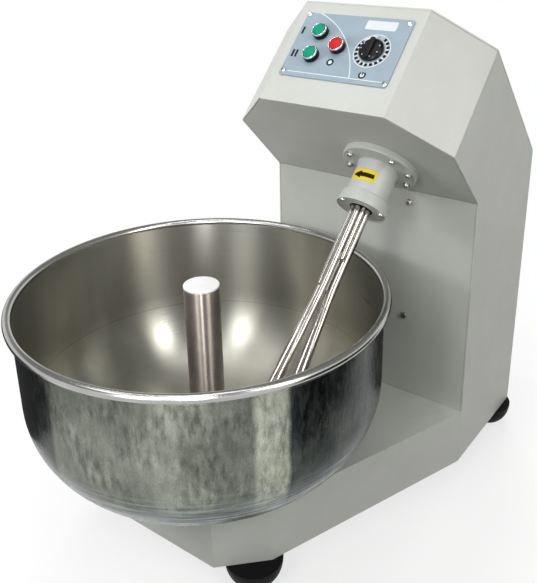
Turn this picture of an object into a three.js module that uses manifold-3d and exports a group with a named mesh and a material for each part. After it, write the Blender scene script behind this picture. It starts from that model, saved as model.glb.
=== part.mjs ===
// Dough mixer with a fixed, powered bowl and an inclined whisk-type agitator.
// Millimetres, +Z up, -Y is the front. The bench frame has the bowl's axis at x = y = 0 and the
// floor at z = 0; the finished group is shifted so that the middle of its footprint is the origin.
import * as THREE from "three";
import { mergeVertices } from "three/addons/utils/BufferGeometryUtils.js";
import Module from "manifold-3d";

const wasm = await Module();
wasm.setup();

// Sheet-metal cabinet
const sheet = 3;
const bottomSheet = 4;
const cabinetWidth = 421;
const cabinetOffset = 119; // the column stands to the right of the bowl's axis
const columnFront = 341;
const columnDepth = 258;
const columnHeight = 419; // from the top of the base to the fold under the head
const headReach = 176;
const controlFace = 206; // height of the sloping control face, measured along it
const headChamfer = 91;

// Base under the bowl
const baseHeight = 113;
const baseFront = 130;
const baseFrontWidth = 228;
const baseChamfer = 69;

// Feet
const footHeight = 43;
const footRadius = 49;
const footInset = 14; // front feet, behind the chamfered faces of the base
const rearFootInset = 34;
const studRadius = 5;

// Bowl
const bowlGap = 9;
const bowlRadius = 300;
const bowlDepth = 295;
const bowlCorner = 150;
const bowlWall = 2;
const beadRadius = 7.3;
const pinRadius = 30;
const pinRise = 12; // the centre post stands a little above the rim
const pinWall = 3;

// Agitator, in the frame of the head
const toolSide = 57; // from the middle of the head towards the right
const toolDown = 157; // from the head's front edge, along its sloping underside
const toolReach = 600; // from the underside to the tip of the whisk
const toolShaft = 15;
const barRadius = 6;
const barCircle = 12; // the four legs stand on this circle where they are gathered
const stubRadius = 4;
const whiskHalfWidth = 34;
const whiskRelease = 245; // the legs leave the bundle here

// Tool bearing housing and seal collar
const flangeRadius = 67;
const flangeThickness = 13;
const neckRadius = 36;
const neckLength = 58;
const collarTopRadius = 41.5;
const collarRadius = 44;
const collarHeight = 23;
const flangeBoltCircle = 56.5;
const flangeBolts = 8;
const boltHeadRadius = 6;
const boltHeadHeight = 6;

// Control panel
const panelWidth = 206;
const panelHeight = 130;
const panelThickness = 2;
const panelUp = 115; // centre of the panel, up the control face
const buttonHole = 11.3;
const bezelRadius = 14;
const bezelHeight = 12;
const capRadius = 10.9;
const knobRadius = 21.5;
const knobHeight = 12.5;

// Drive
const beltWidth = 10;
const beltThickness = 7;
const motorPulley = 34; // pitch radii
const toolPulley = 45.5;
const bowlPulley = 34;
const toolBeltSide = 85; // planes of the two belts, from the bowl's axis
const bowlBeltSide = 62;
const motorRadius = 62;
const motorBack = 129; // motor axis, behind the front of the column
const bowlShaft = 17.5;

// Clearances and tessellation
const seam = 0.3;
const run = 0.4; // running clearance of turning pieces
const overrun = 5; // how far a cutting tool reaches past the face it cuts
const weld = 1e-4;
const fine = 40;
const smooth = 24;
const medium = 18;
const coarse = 12;
const cornerSteps = 2;
const barSides = 10;

const slope = Math.SQRT1_2; // the head is tilted by 45 degrees
const quarter = Math.PI / 2;
const finishes = {
  paint: { color: 0xd8d7d1, roughness: 0.55, metalness: 0.1 },
  castPaint: { color: 0xd3d3ce, roughness: 0.5, metalness: 0.1 },
  machineGrey: { color: 0x4d5356, roughness: 0.6, metalness: 0.3 },
  motorBlue: { color: 0x3b4c60, roughness: 0.55, metalness: 0.3 },
  stainless: { color: 0xc4c2bc, roughness: 0.25, metalness: 1 },
  steel: { color: 0x9a9a98, roughness: 0.35, metalness: 1 },
  castIron: { color: 0x55565a, roughness: 0.6, metalness: 0.6 },
  aluminium: { color: 0xa9bac9, roughness: 0.4, metalness: 0.6 },
  rubber: { color: 0x141415, roughness: 0.85, metalness: 0 },
  black: { color: 0x17181a, roughness: 0.4, metalness: 0 },
  green: { color: 0x12a276, roughness: 0.35, metalness: 0 },
  red: { color: 0xe8353a, roughness: 0.35, metalness: 0 },
  contactGrey: { color: 0x8b8f92, roughness: 0.6, metalness: 0 },
};

// A closed three.js geometry as a solid that can be joined and cut.
function solid(geometry) {
  const bare = geometry.clone();
  bare.deleteAttribute("normal");
  bare.deleteAttribute("uv");
  const merged = mergeVertices(bare, weld);
  const triVerts = new Uint32Array(merged.index.array);
  const vertProperties = merged.attributes.position.array;
  return new wasm.Manifold(new wasm.Mesh({ numProp: 3, vertProperties, triVerts }));
}

function geometryOf(body) {
  const mesh = body.getMesh();
  const geometry = new THREE.BufferGeometry();
  geometry.setAttribute("position", new THREE.BufferAttribute(mesh.vertProperties, 3));
  geometry.setIndex(new THREE.BufferAttribute(mesh.triVerts, 1));
  geometry.computeVertexNormals();
  return geometry;
}

function cut(body, ...tools) {
  return geometryOf(tools.reduce((rest, tool) => rest.subtract(solid(tool)), solid(body)));
}

function join(...pieces) {
  return geometryOf(pieces.map(solid).reduce((all, piece) => all.add(piece)));
}

function part(name, geometry, finish) {
  const mesh = new THREE.Mesh(geometry, new THREE.MeshStandardMaterial(finishes[finish]));
  mesh.name = name;
  return mesh;
}

function areaOf(points) {
  return points.reduce((sum, [x, y], i) => {
    const [nextX, nextY] = points[(i + 1) % points.length];
    return sum + (x * nextY - nextX * y) / 2;
  }, 0);
}

// A profile of [radius, height] pairs turned about the Z axis.
function turned(profile, segments = medium) {
  const outline = areaOf(profile) > 0 ? profile : [...profile].reverse();
  const onAxis = outline.filter(([radius]) => radius === 0).length;
  const first = outline.findIndex(([radius], i) => {
    const [before] = outline[(i + outline.length - 1) % outline.length];
    return onAxis > 0 && radius === 0 && before === 0;
  });
  const ordered = [...outline.slice(Math.max(first, 0)), ...outline.slice(0, Math.max(first, 0))];
  const closed = onAxis > 0 ? ordered : [...ordered, ordered[0]];
  const points = closed.map(([radius, height]) => new THREE.Vector2(radius, height));
  return new THREE.LatheGeometry(points, segments).rotateX(quarter);
}

// A closed outline on the XY plane, pulled up along Z.
function pulled(outline, height) {
  const shape = new THREE.Shape(outline.map(([x, y]) => new THREE.Vector2(x, y)));
  return new THREE.ExtrudeGeometry(shape, { depth: height, bevelEnabled: false });
}

// An outline of [y, z] pairs pulled along X from a given start.
function pulledAcross(outline, start, width) {
  const basis = new THREE.Matrix4().makeBasis(
    new THREE.Vector3(0, 1, 0),
    new THREE.Vector3(0, 0, 1),
    new THREE.Vector3(1, 0, 0),
  );
  return pulled(outline, width).applyMatrix4(basis).translate(start, 0, 0);
}

function block([x0, x1], [y0, y1], [z0, z1]) {
  const box = new THREE.BoxGeometry(x1 - x0, y1 - y0, z1 - z0);
  return box.translate((x0 + x1) / 2, (y0 + y1) / 2, (z0 + z1) / 2);
}

function rod(radius, z0, z1, segments = medium) {
  return turned([[0, z0], [radius, z0], [radius, z1], [0, z1]], segments);
}

function ring(inner, outer, z0, z1, segments = medium) {
  return turned([[inner, z0], [outer, z0], [outer, z1], [inner, z1]], segments);
}

// The same outline with each edge moved inwards by its own distance.
function inset(points, distances) {
  const lines = points.map(([x, y], i) => {
    const [nextX, nextY] = points[(i + 1) % points.length];
    const length = Math.hypot(nextX - x, nextY - y);
    const [dx, dy] = [(nextX - x) / length, (nextY - y) / length];
    return { x: x - dy * distances[i], y: y + dx * distances[i], dx, dy };
  });
  return lines.map((line, i) => {
    const before = lines[(i + lines.length - 1) % lines.length];
    const cross = before.dx * line.dy - before.dy * line.dx;
    const along = ((line.x - before.x) * line.dy - (line.y - before.y) * line.dx) / cross;
    return [before.x + before.dx * along, before.y + before.dy * along];
  });
}

function roundedBox([x0, x1], [y0, y1], [z0, z1], radius) {
  const shape = new THREE.Shape();
  shape.moveTo(x0 + radius, y0);
  shape.lineTo(x1 - radius, y0);
  shape.absarc(x1 - radius, y0 + radius, radius, -quarter, 0, false);
  shape.lineTo(x1, y1 - radius);
  shape.absarc(x1 - radius, y1 - radius, radius, 0, quarter, false);
  shape.lineTo(x0 + radius, y1);
  shape.absarc(x0 + radius, y1 - radius, radius, quarter, 2 * quarter, false);
  shape.lineTo(x0, y0 + radius);
  shape.absarc(x0 + radius, y0 + radius, radius, 2 * quarter, 3 * quarter, false);
  const options = { depth: z1 - z0, bevelEnabled: false, curveSegments: cornerSteps };
  return new THREE.ExtrudeGeometry(shape, options).translate(0, 0, z0);
}

// Places worked out from the driving sizes
const baseTop = footHeight + baseHeight;
const cabinetRear = columnFront + columnDepth;
const halfWidth = cabinetWidth / 2;
const cabinetLeft = cabinetOffset - halfWidth;
const cabinetRight = cabinetOffset + halfWidth;
const foldZ = baseTop + columnHeight;
const headFront = columnFront - headReach;
const headEdge = foldZ + headReach;
const underside = headReach / slope;
const ridgeY = headFront + controlFace * slope;
const coverLength = (cabinetRear - ridgeY) / slope;
const bowlBottom = baseTop + bowlGap;
const rimZ = bowlBottom + bowlDepth;
const bottomTop = footHeight + bottomSheet;
const coverSeat = sheet + seam; // room that the removable covers take

// A point of the head in the bench frame: down its underside, then up through it.
function headPoint(down, up) {
  return [headFront + (down + up) * slope, headEdge + (up - down) * slope];
}

// Outline of the base seen from above, anticlockwise from the left end of its front.
function baseOutline() {
  const half = baseFrontWidth / 2;
  return [
    [-half, -baseFront],
    [half, -baseFront],
    [half + baseChamfer, -baseFront + baseChamfer],
    [cabinetRight, columnFront],
    [cabinetLeft, columnFront],
    [-half - baseChamfer, -baseFront + baseChamfer],
  ];
}

const hubRadius = 30; // turned boss of the bowl carrier, where it passes the base
const hubClearance = 2;
const rearEdge = 3; // place of the rear edge in the outlines of the base and the head

function baseShell() {
  const outline = baseOutline();
  const outer = inset(outline, outline.map((_, i) => (i === rearEdge ? seam : 0)));
  const inner = inset(outline, outline.map((_, i) => (i === rearEdge ? -overrun : sheet)));
  const shell = pulled(outer, baseHeight).translate(0, 0, footHeight);
  const hollow = pulled(inner, baseHeight - sheet + overrun).translate(0, 0, footHeight - overrun);
  const tongue = block(
    [cabinetLeft + coverSeat, cabinetRight - coverSeat],
    [columnFront - sheet, columnFront + sheet],
    [baseTop - sheet, baseTop],
  );
  const hole = rod(hubRadius + hubClearance, baseTop - sheet - overrun, baseTop + overrun);
  return cut(join(cut(shell, hollow), tongue), hole);
}

function bottomPlate() {
  const base = baseOutline();
  const outline = [
    ...base.slice(0, 4),
    [cabinetRight, cabinetRear],
    [cabinetLeft, cabinetRear],
    ...base.slice(4),
  ];
  const plate = pulled(inset(outline, outline.map(() => coverSeat)), bottomSheet);
  const holes = footPlaces.map(({ x, y }) =>
    rod(studRadius + seam, -overrun, bottomSheet + overrun, coarse).translate(x, y, 0),
  );
  return cut(plate, ...holes).translate(0, 0, footHeight);
}

// Side wall of the column and the head; its rear edges stop under the removable covers.
function sidePanel(start) {
  const rear = cabinetRear - coverSeat;
  const up = controlFace - coverSeat;
  const down = (rear - headFront) / slope - up;
  const outline = [
    [columnFront, footHeight],
    [rear, footHeight],
    headPoint(down, up),
    headPoint(headChamfer, up),
    headPoint(headChamfer, 0),
    headPoint(underside, 0),
  ];
  return pulledAcross(outline, start, sheet);
}

function columnPanel() {
  return block(
    [cabinetLeft + coverSeat, cabinetRight - coverSeat],
    [columnFront, columnFront + sheet],
    [baseTop + seam, foldZ - seam],
  );
}

const slots = { length: 150, height: 6, pitch: 16, rows: 6, belowFold: 75 };

// The rear cover closes the column's back; slots let the motor breathe.
function rearCover() {
  const top = headPoint(coverLength, controlFace - sheet)[1] - seam;
  const plate = block([cabinetLeft, cabinetRight], [cabinetRear - sheet, cabinetRear], [footHeight, top]);
  const openings = [];
  for (let row = 0; row < slots.rows; row++) {
    const z = foldZ - slots.belowFold - row * slots.pitch;
    const half = slots.length / 2;
    openings.push(block(
      [cabinetOffset - half, cabinetOffset + half],
      [cabinetRear - sheet - overrun, cabinetRear + overrun],
      [z - slots.height, z],
    ));
  }
  return cut(plate, ...openings);
}

// Pieces of the head, in its own frame: X across, Y down the underside, Z up through the head.
function headOutline(length) {
  return [
    [-halfWidth + headChamfer, 0],
    [halfWidth - headChamfer, 0],
    [halfWidth, headChamfer],
    [halfWidth, length],
    [-halfWidth, length],
    [-halfWidth, headChamfer],
  ];
}

function undersidePanel() {
  const outline = headOutline(underside);
  const plate = pulled(inset(outline, outline.map((_, i) => (i === rearEdge ? seam : coverSeat))), sheet);
  const hole = rod(neckRadius + run, -overrun, sheet + overrun, smooth).translate(toolSide, toolDown, 0);
  return cut(plate, hole);
}

function topCover() {
  return pulled(headOutline(coverLength), sheet).translate(0, 0, controlFace - sheet);
}

function controlShell() {
  const outline = headOutline(headChamfer + overrun);
  const height = controlFace - coverSeat;
  const inner = inset(outline, outline.map((_, i) => (i === rearEdge ? -overrun : sheet)));
  const shell = pulled(outline, height);
  const hollow = pulled(inner, height + 2 * overrun).translate(0, 0, -overrun);
  const behind = block(
    [-cabinetWidth, cabinetWidth],
    [headChamfer - seam, headChamfer + 2 * overrun],
    [-overrun, height + overrun],
  );
  const holes = faceHoles(2 * overrun).map((hole) => hole.rotateX(quarter));
  return cut(shell, hollow, behind, ...holes);
}

// Pieces of the control face, in its own frame: X across, Y up the face, Z out of it.
const timer = {
  x: 50.5,
  y: 114.5,
  shaft: 3,
  shaftDepth: 36,
  skirt: 6,
  lift: 2,
  grip: 38,
  gripWidth: 9,
  body: 46,
  depth: 42,
  corner: 4,
};
// Each button's place is a share of the panel's width and height, from the panel's centre.
const buttonShares = [
  { name: "start_one", across: -0.279, up: 0.183, finish: "green" },
  { name: "start_two", across: -0.267, up: -0.172, finish: "green" },
  { name: "stop", across: -0.065, up: -0.005, finish: "red" },
];
const buttons = buttonShares.map(({ name, across, up, finish }) => ({
  name,
  finish,
  x: panelWidth * across,
  y: panelUp + panelHeight * up,
}));

function faceHoles(depth) {
  const timerHole = rod(timer.shaft + run, -depth, depth, coarse).translate(timer.x, timer.y, 0);
  const holes = buttons.map(({ x, y }) => rod(buttonHole, -depth, depth).translate(x, y, 0));
  return [timerHole, ...holes];
}

function controlPanel() {
  const corner = 5;
  const plate = roundedBox(
    [-panelWidth / 2, panelWidth / 2],
    [panelUp - panelHeight / 2, panelUp + panelHeight / 2],
    [seam, seam + panelThickness],
    corner,
  );
  return cut(plate, ...faceHoles(2 * overrun));
}

const button = {
  barrel: 18,
  stem: 6,
  floor: 5,
  travel: 3.5,
  lip: 2.2,
  block: 30,
  blockDepth: 34,
  corner: 2,
};
const panelFront = seam + panelThickness;

function buttonBezel() {
  const foot = panelFront + seam;
  const top = panelFront + bezelHeight;
  const shoulder = top - button.lip;
  const barrelRadius = buttonHole - seam;
  const cup = capRadius + run;
  return turned([
    [button.stem + run, -button.barrel],
    [barrelRadius, -button.barrel],
    [barrelRadius, foot],
    [bezelRadius, foot],
    [bezelRadius, shoulder],
    [bezelRadius - button.lip / 2, top],
    [cup, top],
    [cup, panelFront + button.floor],
    [button.stem + run, panelFront + button.floor],
  ]);
}

function buttonCap() {
  const under = panelFront + button.floor + button.travel + seam;
  const top = panelFront + bezelHeight + run;
  return turned([
    [0, -button.barrel],
    [button.stem, -button.barrel],
    [button.stem, under],
    [capRadius, under],
    [capRadius, top - run],
    [capRadius - run, top],
    [0, top],
  ]);
}

function contactBlock() {
  const half = button.block / 2;
  const top = -button.barrel - button.travel - seam;
  const body = roundedBox([-half, half], [-half, half], [top - button.blockDepth, top], button.corner);
  const collar = ring(buttonHole, half - button.corner, top - seam, -coverSeat - seam);
  return join(body, collar);
}

function timerKnob() {
  const foot = panelFront + timer.lift;
  const half = timer.skirt / 2;
  const disc = turned([
    [0, foot],
    [knobRadius, foot],
    [knobRadius, foot + half],
    [knobRadius - half, foot + 2 * half],
    [0, foot + 2 * half],
  ]);
  const bar = roundedBox(
    [-timer.gripWidth / 2, timer.gripWidth / 2],
    [-timer.grip / 2, timer.grip / 2],
    [foot + half, panelFront + knobHeight],
    timer.gripWidth / 3,
  );
  const spindle = rod(timer.shaft, -timer.shaftDepth, foot + half, coarse);
  return join(disc, bar, spindle);
}

function timerBody() {
  const half = timer.body / 2;
  const back = -coverSeat - timer.depth;
  const body = roundedBox([-half, half], [-half, half], [back, -coverSeat], timer.corner);
  return cut(body, rod(timer.shaft + run, -timer.shaftDepth - seam, 0, coarse));
}

// Bearing housing, seal collar and agitator, in the frame of the tool: Z up along its axis.
const bearing = { outer: 31, width: 16, seat: 5, race: 4, recess: 1.5 };
const neckEnd = -flangeThickness - neckLength;

function bearingHousing() {
  const bore = bearing.outer + seam;
  const spigot = sheet;
  const housing = turned([
    [bore, neckEnd],
    [neckRadius, neckEnd],
    [neckRadius, -flangeThickness],
    [flangeRadius, -flangeThickness],
    [flangeRadius, -seam],
    [neckRadius - seam, -seam],
    [neckRadius - seam, spigot],
    [bore, spigot],
  ], smooth);
  const heads = [];
  const boltEnd = -flangeThickness - boltHeadHeight;
  for (let i = 0; i < flangeBolts; i++) {
    const head = rod(boltHeadRadius, boltEnd, -flangeThickness / 2, barSides);
    heads.push(head.translate(flangeBoltCircle, 0, 0).rotateZ((i * 4 * quarter) / flangeBolts));
  }
  return join(housing, ...heads);
}

function sealCollar() {
  const lip = 2;
  const throat = barCircle + barRadius + stubRadius / 2 + run;
  const bottom = neckEnd - collarHeight;
  return turned([
    [throat, bottom + lip],
    [collarRadius - lip, bottom + lip],
    [collarRadius - lip, bottom],
    [collarRadius, bottom],
    [collarTopRadius, neckEnd - lip],
    [collarTopRadius - lip, neckEnd - seam],
    [throat, neckEnd - seam],
  ], smooth);
}

function toolBearing(bottom) {
  const { race, recess } = bearing;
  const inner = toolShaft + seam;
  return turned([
    [inner, bottom],
    [inner + race, bottom],
    [inner + race, bottom + recess],
    [bearing.outer - race, bottom + recess],
    [bearing.outer - race, bottom],
    [bearing.outer, bottom],
    [bearing.outer, bottom + bearing.width],
    [inner, bottom + bearing.width],
  ]);
}

const gearbox = { half: 50, depth: 46, height: 172, corner: 8, inputUp: 142, boss: 28, rim: 5 };

const shaftEnd = { step: 2, chamfer: 1.5 };

function agitatorShaft() {
  const core = barCircle - barRadius - seam;
  const shoulder = barCircle + barRadius;
  const top = sheet + seam + gearbox.height;
  const end = -whiskRelease;
  const bottom = neckEnd - collarHeight;
  const shoulderTop = neckEnd - shaftEnd.step;
  const { chamfer } = shaftEnd;
  return turned([
    [0, end],
    [core, end],
    [core, bottom + bearing.seat],
    [shoulder, bottom + bearing.seat],
    [shoulder, shoulderTop],
    [toolShaft, shoulderTop],
    [toolShaft, top - chamfer],
    [toolShaft - chamfer, top],
    [0, top],
  ]);
}

// A round bar bent into a long U: two gathered legs that splay, and a round end.
class WhiskCurve extends THREE.Curve {
  constructor(top, release, reach) {
    super();
    const rise = reach - release - whiskHalfWidth;
    const splay = Math.atan2(whiskHalfWidth - barCircle, rise);
    this.stretches = [
      { steps: 1, length: release - top, at: (s) => [barCircle, -top - s] },
      {
        steps: 2,
        length: Math.hypot(rise, whiskHalfWidth - barCircle),
        at: (s) => [barCircle + s * Math.sin(splay), -release - s * Math.cos(splay)],
      },
      {
        steps: 6,
        length: quarter * whiskHalfWidth,
        at: (s) => {
          const turn = s / whiskHalfWidth;
          return [whiskHalfWidth * Math.cos(turn), -reach + whiskHalfWidth * (1 - Math.sin(turn))];
        },
      },
    ];
    this.halfSteps = this.stretches.reduce((sum, { steps }) => sum + steps, 0);
  }

  // The parameter counts steps and not length, so that most of them fall on the round end.
  getUtoTmapping(u) {
    return u;
  }

  // Only the first half is worked out; the second is its mirror image.
  getPoint(t, target = new THREE.Vector3()) {
    const side = t <= 0.5 ? 1 : -1;
    let rest = (t <= 0.5 ? t : 1 - t) * 2 * this.halfSteps;
    const last = this.stretches.length - 1;
    const found = this.stretches.find(({ steps }, i) => {
      if (rest <= steps || i === last) return true;
      rest -= steps;
      return false;
    });
    const [x, z] = found.at((found.length * Math.min(rest, found.steps)) / found.steps);
    return target.set(side * x, 0, z);
  }
}

function barSection(radius, sides) {
  const points = [];
  for (let i = 0; i < sides; i++) {
    const angle = (4 * quarter * i) / sides;
    points.push(new THREE.Vector2(radius * Math.cos(angle), radius * Math.sin(angle)));
  }
  return new THREE.Shape(points);
}

function whiskLoop(reach) {
  const top = -neckEnd + collarHeight - bearing.seat + seam;
  const path = new WhiskCurve(top, whiskRelease, reach - barRadius);
  return new THREE.ExtrudeGeometry(barSection(barRadius, barSides), {
    steps: 2 * path.halfSteps,
    extrudePath: path,
    bevelEnabled: false,
  });
}

// Short bars welded in the grooves between the gathered legs, each cut to its own length.
const stubEnds = [189, 251, 225, 238];

function stubBar(end) {
  const top = -neckEnd + collarHeight - bearing.seat + seam;
  const apart = barRadius + stubRadius + seam;
  const half = barCircle * slope;
  const circle = half + Math.sqrt(apart ** 2 - half ** 2);
  return rod(stubRadius, -end, -top, barSides).translate(circle, 0, 0);
}

// Bevel gearbox behind the underside; the agitator's shaft passes up through it.
function toolGearbox() {
  const bottom = sheet + seam;
  const top = bottom + gearbox.height;
  const body = roundedBox(
    [-gearbox.half, gearbox.half],
    [-gearbox.depth, gearbox.depth],
    [bottom, top - gearbox.rim],
    gearbox.corner,
  );
  const cover = rod(gearbox.boss + gearbox.rim, bottom, top);
  const lay = (piece) => piece.rotateY(-quarter).translate(0, 0, gearbox.inputUp);
  const boss = lay(rod(gearbox.boss, 0, gearbox.half + gearbox.rim));
  const bore = rod(toolShaft + run, 0, top + overrun);
  const inputBore = lay(rod(inputShaft + run, shaftSeat, 2 * gearbox.half));
  return cut(join(body, cover, boss), bore, inputBore);
}

// Turned pieces whose axis lies along X are made about Z, then laid over.
function layOver(geometry, x, y, z) {
  return geometry.rotateY(quarter).translate(x, y, z);
}

const inputShaft = 9;
const shaftSeat = 20; // depth left solid behind an input shaft's end
const groove = { wall: 4, flare: 1, drop: 1 };

// A pulley with one groove per belt plane, centred on those planes.
function pulley(pitch, planes, bore) {
  const outer = pitch + beltThickness / 2 - groove.drop;
  const floor = pitch - beltThickness / 2 - run;
  const half = beltWidth / 2 + run;
  const { wall, flare } = groove;
  const points = [];
  planes.forEach((plane, i) => {
    if (i === 0) points.push([bore, plane - half - wall], [outer, plane - half - wall]);
    points.push([outer, plane - half - flare], [floor, plane - half]);
    points.push([floor, plane + half], [outer, plane + half + flare]);
  });
  const end = planes[planes.length - 1] + half + wall;
  points.push([outer, end], [bore, end]);
  return turned(points);
}

// Outline of a belt round two pulleys, moved out from the pitch line by a distance.
function beltOutline([a, b], offset) {
  const [dy, dz] = [b.y - a.y, b.z - a.z];
  const along = Math.atan2(dz, dy);
  const lean = Math.acos((a.radius - b.radius) / Math.hypot(dy, dz));
  const arc = ({ y, z, radius }, from, to) => {
    const points = [];
    for (let i = 0; i <= coarse; i++) {
      const angle = from + ((to - from) * i) / coarse;
      points.push([y + (radius + offset) * Math.cos(angle), z + (radius + offset) * Math.sin(angle)]);
    }
    return points;
  };
  return [
    ...arc(b, along - lean, along + lean),
    ...arc(a, along + lean, along - lean + 4 * quarter),
  ];
}

function belt(pulleys, side) {
  const outer = pulledAcross(beltOutline(pulleys, beltThickness / 2), side - beltWidth / 2, beltWidth);
  const inner = pulledAcross(
    beltOutline(pulleys, -beltThickness / 2),
    side - beltWidth / 2 - overrun,
    beltWidth + 2 * overrun,
  );
  return cut(outer, inner);
}

const bowlBox = {
  half: 42,
  front: 38,
  back: 82,
  height: 68,
  corner: 6,
  blind: 46,
  centres: 50,
  up: 38,
  rim: 1,
};
const motor = {
  gap: 5,
  lift: 3,
  gearhead: 72,
  nose: 24,
  fanCover: 38,
  fins: 20,
  finDepth: 5,
  footWidth: 96,
  inlet: 20,
  skin: 1.5,
  terminals: 70,
  terminalHeight: 34,
  corner: 4,
};
const motorAxis = {
  y: columnFront + motorBack,
  z: bottomTop + motorRadius + motor.lift,
  radius: motorPulley,
};
const bowlInput = { y: bowlBox.centres, z: bottomTop + bowlBox.up, radius: bowlPulley };
const toolInput = (() => {
  const [y, z] = headPoint(toolDown, gearbox.inputUp);
  return { y, z, radius: toolPulley };
})();

const pulleyEnd = toolBeltSide + beltWidth / 2 + run + groove.wall;
const motorStart = pulleyEnd + motor.gap;
const motorEnd = cabinetRight - sheet - 3 * motor.gap;

function motorGearhead() {
  const head = turned([
    [inputShaft + run, 0],
    [motor.nose, 0],
    [motor.nose, motor.gap],
    [motorRadius - motor.gap, motor.gap],
    [motorRadius, 2 * motor.gap],
    [motorRadius, motor.gearhead],
    [0, motor.gearhead],
    [0, motor.gearhead / 2],
    [inputShaft + run, motor.gearhead / 2],
  ]);
  const laid = layOver(head, motorStart, motorAxis.y, motorAxis.z);
  const foot = block(
    [motorStart + 2 * motor.gap, motorStart + motor.gearhead],
    [motorAxis.y - motor.footWidth / 2, motorAxis.y + motor.footWidth / 2],
    [bottomTop + seam, motorAxis.z - motorRadius / 2],
  );
  return join(laid, foot);
}

function motorBody() {
  const points = [];
  const steps = motor.fins * 4;
  for (let i = 0; i < steps; i++) {
    const angle = (i * 4 * quarter) / steps;
    const radius = i % 4 < 2 ? motorRadius : motorRadius - motor.finDepth;
    points.push([radius * Math.cos(angle), radius * Math.sin(angle)]);
  }
  const start = motorStart + motor.gearhead + seam;
  const length = motorEnd - motor.fanCover - seam - start;
  return layOver(pulled(points, length), start, motorAxis.y, motorAxis.z);
}

function motorFanCover() {
  const wall = motor.skin;
  const depth = motor.fanCover;
  const cover = turned([
    [motorRadius - wall, 0],
    [motorRadius, 0],
    [motorRadius, depth - motor.gap],
    [motorRadius - motor.gap, depth],
    [motor.inlet, depth],
    [motor.inlet, depth - wall],
    [motorRadius - motor.gap - wall / 2, depth - wall],
    [motorRadius - wall, depth - motor.gap - wall / 2],
  ]);
  return layOver(cover, motorEnd - depth, motorAxis.y, motorAxis.z);
}

function terminalBox() {
  const start = motorStart + motor.gearhead + seam;
  const end = motorEnd - motor.fanCover - seam;
  const half = motor.terminals / 2;
  const bottom = motorAxis.z + motorRadius + seam;
  return roundedBox(
    [start, end],
    [motorAxis.y - half, motorAxis.y + half],
    [bottom, bottom + motor.terminalHeight],
    motor.corner,
  );
}

function bowlGearbox() {
  const body = roundedBox(
    [-bowlBox.half, bowlBox.half],
    [-bowlBox.front, bowlBox.back],
    [bottomTop + seam, bottomTop + seam + bowlBox.height],
    bowlBox.corner,
  );
  const boss = rod(gearbox.boss - gearbox.rim, 0, bowlBox.half + bowlBox.rim)
    .rotateY(quarter)
    .translate(0, bowlInput.y, bowlInput.z);
  const top = bottomTop + bowlBox.height;
  const bore = rod(bowlShaft + run, top - bowlBox.blind, top + overrun);
  const wormBore = rod(inputShaft + run, shaftSeat, 2 * bowlBox.half)
    .rotateY(quarter)
    .translate(0, bowlInput.y, bowlInput.z);
  return cut(join(body, boss), bore, wormBore);
}

const carrier = {
  radius: 90,
  thickness: 6.5,
  endGap: 1,
  bearing: 16,
  bearingOuter: 40,
  bearingDrop: 3,
  housing: 62,
  housingDepth: 24,
  lip: 4,
};

function bowlCarrier() {
  const top = bowlBottom - seam;
  const bottom = bottomTop + bowlBox.height - bowlBox.blind + carrier.endGap;
  const step = baseTop - sheet - run;
  return turned([
    [0, bottom],
    [bowlShaft, bottom],
    [bowlShaft, step],
    [hubRadius, step],
    [hubRadius, top - carrier.thickness],
    [carrier.radius, top - carrier.thickness],
    [carrier.radius, top],
    [0, top],
  ]);
}

function bowlBearingHousing() {
  const top = baseTop - sheet - seam;
  const bottom = top - carrier.housingDepth;
  const bore = carrier.bearingOuter + seam;
  return turned([
    [bore - carrier.lip, bottom],
    [carrier.housing, bottom],
    [carrier.housing, top],
    [bore, top],
    [bore, bottom + carrier.lip],
    [bore - carrier.lip, bottom + carrier.lip],
  ]);
}

function bowlBearing() {
  const top = baseTop - sheet - seam - carrier.bearingDrop;
  return ring(bowlShaft + seam, carrier.bearingOuter, top - carrier.bearing, top);
}

// The rim is rolled over a wire: its bead starts a little inside the wall.
const beadInset = 1;
const beadCentre = bowlRadius - bowlWall + beadRadius - beadInset;

function bowlShell() {
  const arcSteps = 9;
  const beadSteps = 7;
  const arc = (radius, lift) => {
    const points = [];
    for (let i = 0; i <= arcSteps; i++) {
      const angle = (quarter * i) / arcSteps;
      points.push([
        bowlRadius - bowlCorner + radius * Math.sin(angle),
        bowlBottom + bowlCorner - radius * Math.cos(angle) + lift,
      ]);
    }
    return points;
  };
  const outside = arc(bowlCorner, 0);
  const inside = arc(bowlCorner - bowlWall, 0).reverse();
  const bead = [];
  const under = Math.asin((beadCentre - bowlRadius) / beadRadius);
  const within = Math.asin((beadCentre - bowlRadius + bowlWall) / beadRadius);
  for (let i = 0; i <= beadSteps; i++) {
    const angle = -quarter - under + ((4 * quarter - within + under) * i) / beadSteps;
    bead.push([beadCentre + beadRadius * Math.cos(angle), rimZ + beadRadius * Math.sin(angle)]);
  }
  return turned([[0, bowlBottom], ...outside, ...bead, ...inside, [0, bowlBottom + bowlWall]], fine);
}

const pinBoss = { radius: 71, height: 7, chamfer: 3, socket: 4 };

function centrePinBoss() {
  const bottom = bowlBottom + bowlWall + seam;
  const top = bottom + pinBoss.height;
  return turned([
    [0, bottom],
    [pinBoss.radius, bottom],
    [pinBoss.radius, top - pinBoss.chamfer],
    [pinBoss.radius - pinBoss.chamfer, top],
    [pinRadius + seam, top],
    [pinRadius + seam, top - pinBoss.socket],
    [0, top - pinBoss.socket],
  ]);
}

function centrePin() {
  const bottom = bowlBottom + bowlWall + 2 * seam + pinBoss.height - pinBoss.socket;
  const top = rimZ + pinRise;
  const edge = 2;
  return turned([
    [pinRadius - pinWall, bottom],
    [pinRadius, bottom],
    [pinRadius, top - edge],
    [pinRadius - edge, top],
    [0, top],
    [0, top - pinWall],
    [pinRadius - pinWall, top - pinWall],
  ]);
}

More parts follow.
